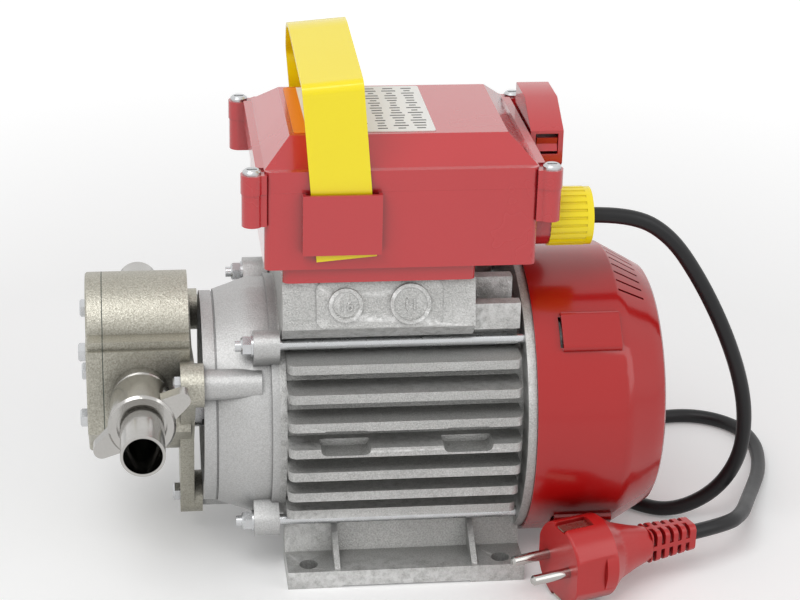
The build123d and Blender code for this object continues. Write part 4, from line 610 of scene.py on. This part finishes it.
def softenNode(node, name, finish, width):
    mesh = nodes[node].data.copy()
    if mesh.attributes.get("custom_normal"):
        mesh.attributes.remove(mesh.attributes["custom_normal"])
    shaper = bmesh.new()
    shaper.from_mesh(mesh)
    bmesh.ops.remove_doubles(shaper, verts=shaper.verts, dist=softening["weld"])
    if node not in softening["keptFacets"]:
        flat = radians(softening["flatWithin"])
        bmesh.ops.dissolve_limit(shaper, angle_limit=flat, verts=shaper.verts, edges=shaper.edges)
    turned = radians(softening["sharpFrom"])
    bmesh.ops.bevel(
        shaper,
        geom=[e for e in shaper.edges if len(e.link_faces) == 2 and e.calc_face_angle(0) > turned],
        offset=width * mm,
        offset_type="OFFSET",
        segments=softening["segments"],
        profile=0.5,
        affect="EDGES",
        clamp_overlap=True,
    )
    bmesh.ops.triangulate(shaper, faces=[f for f in shaper.faces if len(f.verts) > 4])
    shaper.to_mesh(mesh)
    shaper.free()
    shadeByAngle(mesh, softening["smoothTo"])
    piece = newPiece(name, weighNormals(mesh), finish, bodyOfNode.get(node, housing))
    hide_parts(node)


for node, (name, finish, width) in softened.items():
    softenNode(node, name, finish, width)
print("castings and mouldings softened")

# Trees that repeat one shape; lengths come in as metres
def startTree(name, numbers, counts=(), directions=()):
    tree = bpy.data.node_groups.new(name, "GeometryNodeTree")
    kinds = [("Geometry", "NodeSocketGeometry")]
    kinds += [(label, "NodeSocketFloat") for label in numbers]
    kinds += [(label, "NodeSocketInt") for label in counts]
    kinds += [(label, "NodeSocketVector") for label in directions]
    kinds += [("Finish", "NodeSocketMaterial")]
    for label, kind in kinds:
        tree.interface.new_socket(label, in_out="INPUT", socket_type=kind)
    tree.interface.new_socket("Geometry", in_out="OUTPUT", socket_type="NodeSocketGeometry")
    return tree, tree.nodes.new("NodeGroupInput"), tree.nodes.new("NodeGroupOutput")


def liftedBy(tree, geometry, height):
    offset = addNode(tree, "ShaderNodeCombineXYZ")
    tree.links.new(height, offset.inputs["Z"])
    move = addNode(tree, "GeometryNodeTransform")
    tree.links.new(geometry, move.inputs["Geometry"])
    tree.links.new(offset.outputs[0], move.inputs["Translation"])
    return move.outputs[0]


def endTree(tree, entry, leave, instances):
    real = addNode(tree, "GeometryNodeRealizeInstances")
    tree.links.new(instances, real.inputs[0])
    coat = addNode(tree, "GeometryNodeSetMaterial")
    tree.links.new(real.outputs[0], coat.inputs["Geometry"])
    tree.links.new(entry.outputs["Finish"], coat.inputs["Material"])
    tree.links.new(coat.outputs[0], leave.inputs["Geometry"])
    return tree


def setInput(modifier, label, value):
    for socket in modifier.node_group.interface.items_tree:
        if socket.item_type == "SOCKET" and socket.in_out == "INPUT" and socket.name == label:
            modifier[socket.identifier] = value


def growPiece(name, points, tree, inputs, finish, place=(0, 0, 0), smoothTo=None):
    # runs the tree on bare points in millimetres and keeps the result as plain mesh
    seed = bpy.data.meshes.new(name + "Seed")
    seed.from_pydata([Vector(p) * mm for p in points], [], [])
    holder = bpy.data.objects.new(name + "Seed", seed)
    scene.collection.objects.link(holder)
    grower = holder.modifiers.new("grow", "NODES")
    grower.node_group = tree
    for label, value in inputs.items():
        setInput(grower, label, value)
    setInput(grower, "Finish", made[finish])
    settle(holder)
    grown = holder.data
    bpy.data.objects.remove(holder)
    grown.transform(Matrix.Translation(Vector(place) * mm))
    if smoothTo:
        shadeByAngle(grown, smoothTo)
    return newPiece(name, grown, finish)


# Bolt, nut and lid screw heads
hexHead = {
    "flats": 8.0,
    "boltHeight": 3.4,
    "nutHeight": 4.6,
    "crown": 0.7,
    "crownFoot": 1.04,  # shares of half the flats
    "crownTop": 0.86,
    "crownSteps": 32,
}
crossHead = {
    "radius": 4.0,
    "height": 2.1,
    "recess": 1.3,
    "rimShare": 0.6,
    "domeTop": 0.78,
    "slotLength": 1.1,  # shares of the radius
    "slotWidth": 0.26,
    "steps": 40,
}
shaftHeight = 71
headsSmoothTo = 35


def placeHeads(tree, entry, leave, head):
    # one head at every point, its top towards Facing
    turn = addNode(tree, "FunctionNodeAlignEulerToVector", axis="Z")
    tree.links.new(entry.outputs["Facing"], turn.inputs["Vector"])
    place = addNode(tree, "GeometryNodeInstanceOnPoints")
    tree.links.new(entry.outputs["Geometry"], place.inputs["Points"])
    tree.links.new(head, place.inputs["Instance"])
    tree.links.new(turn.outputs[0], place.inputs["Rotation"])
    return endTree(tree, entry, leave, place.outputs[0])


def hexHeadTree():
    # hex prism under a round chamfered crown
    tree, entry, leave = startTree("hexHeads", ("Flats", "Height", "Crown"), directions=("Facing",))
    flats = entry.outputs["Flats"]
    prismHeight = mathsNode(tree, "SUBTRACT", entry.outputs["Height"], entry.outputs["Crown"])
    prism = addNode(tree, "GeometryNodeMeshCylinder")
    prism.inputs["Vertices"].default_value = 6
    tree.links.new(mathsNode(tree, "DIVIDE", flats, sqrt(3)), prism.inputs["Radius"])
    tree.links.new(prismHeight, prism.inputs["Depth"])
    crown = addNode(tree, "GeometryNodeMeshCone")
    crown.inputs["Vertices"].default_value = hexHead["crownSteps"]
    for socket, share in (("Radius Bottom", "crownFoot"), ("Radius Top", "crownTop")):
        tree.links.new(mathsNode(tree, "MULTIPLY", flats, hexHead[share] / 2), crown.inputs[socket])
    tree.links.new(entry.outputs["Crown"], crown.inputs["Depth"])
    join = addNode(tree, "GeometryNodeJoinGeometry")
    raised = liftedBy(tree, prism.outputs["Mesh"], mathsNode(tree, "MULTIPLY", prismHeight, 0.5))
    tree.links.new(raised, join.inputs[0])
    tree.links.new(liftedBy(tree, crown.outputs["Mesh"], prismHeight), join.inputs[0])
    return placeHeads(tree, entry, leave, join.outputs[0])


def crossHeadTree():
    # pan head with a cross recess
    tree, entry, leave = startTree("crossHeads", ("Radius", "Height", "Recess"), directions=("Facing",))
    radius = entry.outputs["Radius"]
    height = entry.outputs["Height"]
    rimHeight = mathsNode(tree, "MULTIPLY", height, crossHead["rimShare"])
    rim = addNode(tree, "GeometryNodeMeshCylinder")
    rim.inputs["Vertices"].default_value = crossHead["steps"]
    tree.links.new(radius, rim.inputs["Radius"])
    tree.links.new(rimHeight, rim.inputs["Depth"])
    dome = addNode(tree, "GeometryNodeMeshCone")
    dome.inputs["Vertices"].default_value = crossHead["steps"]
    tree.links.new(radius, dome.inputs["Radius Bottom"])
    tree.links.new(mathsNode(tree, "MULTIPLY", radius, crossHead["domeTop"]), dome.inputs["Radius Top"])
    domeHeight = mathsNode(tree, "MULTIPLY", height, 1 - crossHead["rimShare"])
    tree.links.new(domeHeight, dome.inputs["Depth"])
    join = addNode(tree, "GeometryNodeJoinGeometry")
    raised = liftedBy(tree, rim.outputs["Mesh"], mathsNode(tree, "MULTIPLY", rimHeight, 0.5))
    tree.links.new(raised, join.inputs[0])
    tree.links.new(liftedBy(tree, dome.outputs["Mesh"], rimHeight), join.inputs[0])
    shape = join.outputs[0]
    slotLength = mathsNode(tree, "MULTIPLY", radius, crossHead["slotLength"])
    slotWidth = mathsNode(tree, "MULTIPLY", radius, crossHead["slotWidth"])
    slotDepth = mathsNode(tree, "MULTIPLY", entry.outputs["Recess"], 2)
    for sides in ((slotLength, slotWidth, slotDepth), (slotWidth, slotLength, slotDepth)):
        size = addNode(tree, "ShaderNodeCombineXYZ")
        for socket, side in zip(size.inputs, sides):
            tree.links.new(side, socket)
        bar = addNode(tree, "GeometryNodeMeshCube")
        tree.links.new(size.outputs[0], bar.inputs["Size"])
        cut = addNode(tree, "GeometryNodeMeshBoolean", operation="DIFFERENCE")
        tree.links.new(shape, cut.inputs["Mesh 1"])
        tree.links.new(liftedBy(tree, bar.outputs["Mesh"], height), cut.inputs["Mesh 2"])
        shape = cut.outputs[0]
    return placeHeads(tree, entry, leave, shape)


def hexHeadsAt(name, face, places, towards, height, node):
    inputs = {
        "Flats": hexHead["flats"] * mm,
        "Height": height * mm,
        "Crown": hexHead["crown"] * mm,
        "Facing": (towards, 0.0, 0.0),
    }
    points = [(face, y, shaftHeight + z) for y, z in places]
    piece = growPiece(name, points, hexHeads, inputs, "zincSteel", smoothTo=headsSmoothTo)
    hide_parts(node)


hexHeads = hexHeadTree()
coverPlaces = [(y, z) for y in (-25.6, 25.6) for z in (2.25, 35.25)]  # from the shaft axis
flangePlaces = [(51 * cos(radians(a)), 51 * sin(radians(a))) for a in (30, 150, 270)]
rodPlaces = [(y, z) for y in (-44.4, 44.4) for z in (-44.4, 44.4)]
hexHeadsAt("coverBoltHeads", -144.6, coverPlaces, -1.0, hexHead["boltHeight"], "cover_bolts")
hexHeadsAt("flangeBoltHeads", -102.5, flangePlaces, -1.0, hexHead["boltHeight"], "flange_bolts")
hexHeadsAt("frontRodNuts", -70.7, rodPlaces, -1.0, hexHead["nutHeight"], "tie_rod_nuts")
hexHeadsAt("rearRodNuts", 70.5, rodPlaces, 1.0, hexHead["nutHeight"], "tie_rod_nuts")

screwPlaces = [(x, y, 200.0) for x in (-70.5, 60.9) for y in (-52.4, 52.4)]  # on the lid's lugs
screwInputs = {
    "Radius": crossHead["radius"] * mm,
    "Height": crossHead["height"] * mm,
    "Recess": crossHead["recess"] * mm,
    "Facing": (0.0, 0.0, 1.0),
}
lidScrews = growPiece(
    "lidScrewHeads", screwPlaces, crossHeadTree(), screwInputs, "zincSteel", smoothTo=headsSmoothTo
)
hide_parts("lid_screws")
print("bolt, nut and screw heads made")

# Plain raised numbers on the two blanked cable bosses
bossNumbers = {
    "size": 6.8,
    "rise": 0.5,
    "depth": -53.3,
    "height": 137.2,
    "tilt": 75.6,  # degrees, square to the seat's sloping wall
    "edge": 0.12,
    "places": {"16": -29.0, "11": 0.0},
}


def raisedNumber(words, x):
    curve = bpy.data.curves.new("bossNumber" + words, "FONT")
    curve.body = words
    curve.size = bossNumbers["size"] * mm
    curve.extrude = bossNumbers["rise"] * mm
    curve.bevel_depth = bossNumbers["edge"] * mm
    curve.align_x = "CENTER"
    curve.align_y = "CENTER"
    holder = bpy.data.objects.new("bossNumber" + words, curve)
    scene.collection.objects.link(holder)
    bpy.context.view_layer.update()
    mesh = bpy.data.meshes.new_from_object(holder.evaluated_get(bpy.context.evaluated_depsgraph_get()))
    bpy.data.objects.remove(holder)
    upright = Matrix.Rotation(radians(bossNumbers["tilt"]), 4, "X")
    place = Vector((x, bossNumbers["depth"], bossNumbers["height"])) * mm
    mesh.transform(Matrix.Translation(place) @ upright)
    newPiece("bossNumber" + words, mesh, "castAluminium")


for words, x in bossNumbers["places"].items():
    raisedNumber(words, x)
print("boss numbers made")

# Turned thread on the two nipples, between the body and the wing nut
thread = {
    "radius": 12.4,
    "wire": 0.42,
    "pitch": 0.95,
    "count": 5,
    "start": 41.4,  # from the pump's middle
    "axis": (-120.2, 89.75),
    "ringSteps": 72,
    "wireSteps": 10,
    "smoothTo": 60,
}


def threadTree():
    tree, entry, leave = startTree("threadRings", ("Radius", "Wire", "Pitch"), counts=("Count",))
    line = addNode(tree, "GeometryNodeMeshLine")
    step = addNode(tree, "ShaderNodeCombineXYZ")
    tree.links.new(entry.outputs["Pitch"], step.inputs["Y"])
    tree.links.new(entry.outputs["Count"], line.inputs["Count"])
    tree.links.new(step.outputs[0], line.inputs["Offset"])
    ring = addNode(tree, "GeometryNodeCurvePrimitiveCircle")
    ring.inputs["Resolution"].default_value = thread["ringSteps"]
    tree.links.new(entry.outputs["Radius"], ring.inputs["Radius"])
    section = addNode(tree, "GeometryNodeCurvePrimitiveCircle")
    section.inputs["Resolution"].default_value = thread["wireSteps"]
    tree.links.new(entry.outputs["Wire"], section.inputs["Radius"])
    sweep = addNode(tree, "GeometryNodeCurveToMesh")
    tree.links.new(ring.outputs[0], sweep.inputs["Curve"])
    tree.links.new(section.outputs[0], sweep.inputs["Profile Curve"])
    upright = addNode(tree, "GeometryNodeTransform")
    upright.inputs["Rotation"].default_value = (radians(90), 0, 0)
    tree.links.new(sweep.outputs[0], upright.inputs["Geometry"])
    place = addNode(tree, "GeometryNodeInstanceOnPoints")
    tree.links.new(line.outputs[0], place.inputs["Points"])
    tree.links.new(upright.outputs[0], place.inputs["Instance"])
    return endTree(tree, entry, leave, place.outputs[0])


threadRings = threadTree()
for name, side in (("outletThread", -1), ("inletThread", 1)):
    threadInputs = {
        "Radius": thread["radius"] * mm,
        "Wire": thread["wire"] * mm,
        "Pitch": side * thread["pitch"] * mm,
        "Count": thread["count"],
    }
    start = (thread["axis"][0], side * thread["start"], thread["axis"][1])
    growPiece(name, [], threadRings, threadInputs, "brightNickel", place=start, smoothTo=thread["smoothTo"])
print("nipple threads made")

# Lead: finish, body and what it stands for
mainsLead.data.materials.append(made["blackRubber"])
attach(mainsLead, housing)
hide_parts("lead_from_gland", "lead_to_plug", "lead_coil")

# Rating label: white film with a plain orange band along its pump end
label = {
    "bandEnd": -45.0,
    "bandBlur": 0.1,
    "paper": {"Light": (0.88, 0.88, 0.86, 1), "Dark": (0.84, 0.84, 0.82, 1)},
    "band": (0.85, 0.22, 0.01, 1),
    "rough": 0.35,
}


def makeLabelFinish():
    material = bpy.data.materials.new("labelFilm")
    material.use_nodes = True
    tree = material.node_tree
    shader = tree.nodes["Principled BSDF"]
    coords = addNode(tree, "ShaderNodeTexCoord")
    split = addNode(tree, "ShaderNodeSeparateXYZ")
    tree.links.new(coords.outputs["Object"], split.inputs[0])
    low, high = ((label["bandEnd"] + side * label["bandBlur"]) * mm for side in (-1, 1))
    band = rangeNode(tree, split.outputs["X"], low, high, 1, 0)
    paper = placeGroup(tree, mottle, **label["paper"], Patch_Scale=60.0, Speck_Scale=800.0, Speck_Amount=0.1)
    colour = mixColours(tree, band, paper.outputs["Color"], label["band"])
    tree.links.new(colour, shader.inputs["Base Color"])
    shader.inputs["Roughness"].default_value = label["rough"]
    return material


nodes["rating_label"].data.materials.clear()
nodes["rating_label"].data.materials.append(makeLabelFinish())
print("label made")

# Printed rows on the label, with no words: short bars of chance length
labelPrint = {
    "centre": (-15.5, 0, 211.8),
    "area": (43.0, 58.0),
    "counts": (6, 17),
    "bar": (7.0, 1.1, 0.12),
    "shortest": 0.35,
    "seed": 7,
}


def labelPrintTree():
    numbers = ("Width", "Depth", "Bar Length", "Bar Width", "Bar Height", "Shortest")
    tree, entry, leave = startTree("labelRows", numbers, counts=("Columns", "Rows", "Seed"))
    grid = addNode(tree, "GeometryNodeMeshGrid")
    sockets = {"Width": "Size X", "Depth": "Size Y", "Columns": "Vertices X", "Rows": "Vertices Y"}
    for given, taken in sockets.items():
        tree.links.new(entry.outputs[given], grid.inputs[taken])
    size = addNode(tree, "ShaderNodeCombineXYZ")
    for axis, given in zip("XYZ", ("Bar Length", "Bar Width", "Bar Height")):
        tree.links.new(entry.outputs[given], size.inputs[axis])
    bar = addNode(tree, "GeometryNodeMeshCube")
    tree.links.new(size.outputs[0], bar.inputs["Size"])
    chance = addNode(tree, "FunctionNodeRandomValue", data_type="FLOAT")
    tree.links.new(entry.outputs["Shortest"], chance.inputs[2])
    tree.links.new(entry.outputs["Seed"], chance.inputs["Seed"])
    stretch = addNode(tree, "ShaderNodeCombineXYZ")
    stretch.inputs["Y"].default_value = 1
    stretch.inputs["Z"].default_value = 1
    tree.links.new(chance.outputs[1], stretch.inputs["X"])
    place = addNode(tree, "GeometryNodeInstanceOnPoints")
    tree.links.new(grid.outputs["Mesh"], place.inputs["Points"])
    tree.links.new(bar.outputs["Mesh"], place.inputs["Instance"])
    tree.links.new(stretch.outputs[0], place.inputs["Scale"])
    return endTree(tree, entry, leave, place.outputs[0])


printSizes = ("Width", "Depth", "Bar Length", "Bar Width", "Bar Height")
printInputs = {name: size * mm for name, size in zip(printSizes, labelPrint["area"] + labelPrint["bar"])}
printInputs["Columns"], printInputs["Rows"] = labelPrint["counts"]
printInputs["Seed"] = labelPrint["seed"]
printInputs["Shortest"] = labelPrint["shortest"]
growPiece("labelPrint", [], labelPrintTree(), printInputs, "blackMoulding", place=labelPrint["centre"])
print("label rows made")

# Studio
studio = {
    "floorHalf": 4.0,
    "floorTone": 0.90,
    "floorLift": 0.15,
    "farLift": 0.75,
    "whitenBetween": (0.35, 1.6),
    "worldLevel": 0.48,
    "aim": (0, 0, 0.1),
    "lamps": {
        "keyLamp": {"place": (-0.7, -0.9, 1.7), "size": (1.4, 1.1), "power": 17.0},
        "fillLamp": {"place": (1.3, -0.9, 1.0), "size": (0.9, 1.4), "power": 5.0},
    },
}


def makeFloor():
    # lifted towards white for the camera and reflections only, so it keeps the shadow
    half = studio["floorHalf"]
    mesh = bpy.data.meshes.new("studioFloor")
    corners = [(-half, -half, 0), (half, -half, 0), (half, half, 0), (-half, half, 0)]
    mesh.from_pydata(corners, [], [(0, 1, 2, 3)])
    floor = bpy.data.objects.new("studioFloor", mesh)
    scene.collection.objects.link(floor)
    material = bpy.data.materials.new("paleFloor")
    material.use_nodes = True
    tree = material.node_tree
    shader = tree.nodes["Principled BSDF"]
    tone = studio["floorTone"]
    shader.inputs["Base Color"].default_value = (tone, tone, tone, 1)
    shader.inputs["Roughness"].default_value = 0.9
    shader.inputs["Specular IOR Level"].default_value = 0.1
    path = addNode(tree, "ShaderNodeLightPath")
    seen = mathsNode(tree, "MAXIMUM", path.outputs["Is Camera Ray"], path.outputs["Is Glossy Ray"])
    lift = rangeNode(tree, seen, 0, 1, 0, studio["floorLift"])
    coords = addNode(tree, "ShaderNodeTexCoord")
    reach = addNode(tree, "ShaderNodeVectorMath", operation="LENGTH")
    tree.links.new(coords.outputs["Object"], reach.inputs[0])
    far = rangeNode(tree, reach.outputs["Value"], *studio["whitenBetween"], 0, studio["farLift"])
    farSeen = mathsNode(tree, "MULTIPLY", far, path.outputs["Is Camera Ray"])
    tree.links.new(mathsNode(tree, "ADD", lift, farSeen), shader.inputs["Emission Strength"])
    shader.inputs["Emission Color"].default_value = (1, 1, 1, 1)
    mesh.materials.append(material)


def makeLamp(name, settings):
    data = bpy.data.lights.new(name, "AREA")
    data.shape = "RECTANGLE"
    data.size, data.size_y = settings["size"]
    data.energy = settings["power"]
    lamp = bpy.data.objects.new(name, data)
    aim = Vector(studio["aim"]) - Vector(settings["place"])
    turn = aim.to_track_quat("-Z", "Y").to_matrix().to_4x4()
    lamp.matrix_world = Matrix.Translation(settings["place"]) @ turn
    scene.collection.objects.link(lamp)


def makeWorld():
    world = bpy.data.worlds.new("studioWorld")
    world.use_nodes = True
    scene.world = world
    tree = world.node_tree
    background = tree.nodes["Background"]
    background.inputs["Color"].default_value = (1, 1, 1, 1)
    path = addNode(tree, "ShaderNodeLightPath")
    seen = mathsNode(tree, "MAXIMUM", path.outputs["Is Camera Ray"], path.outputs["Is Glossy Ray"])
    through = mathsNode(tree, "MAXIMUM", seen, path.outputs["Is Transmission Ray"])
    level = rangeNode(tree, through, 0, 1, studio["worldLevel"], 1.0)
    tree.links.new(level, background.inputs["Strength"])


makeFloor()
for name, settings in studio["lamps"].items():
    makeLamp(name, settings)
makeWorld()
print("studio made")
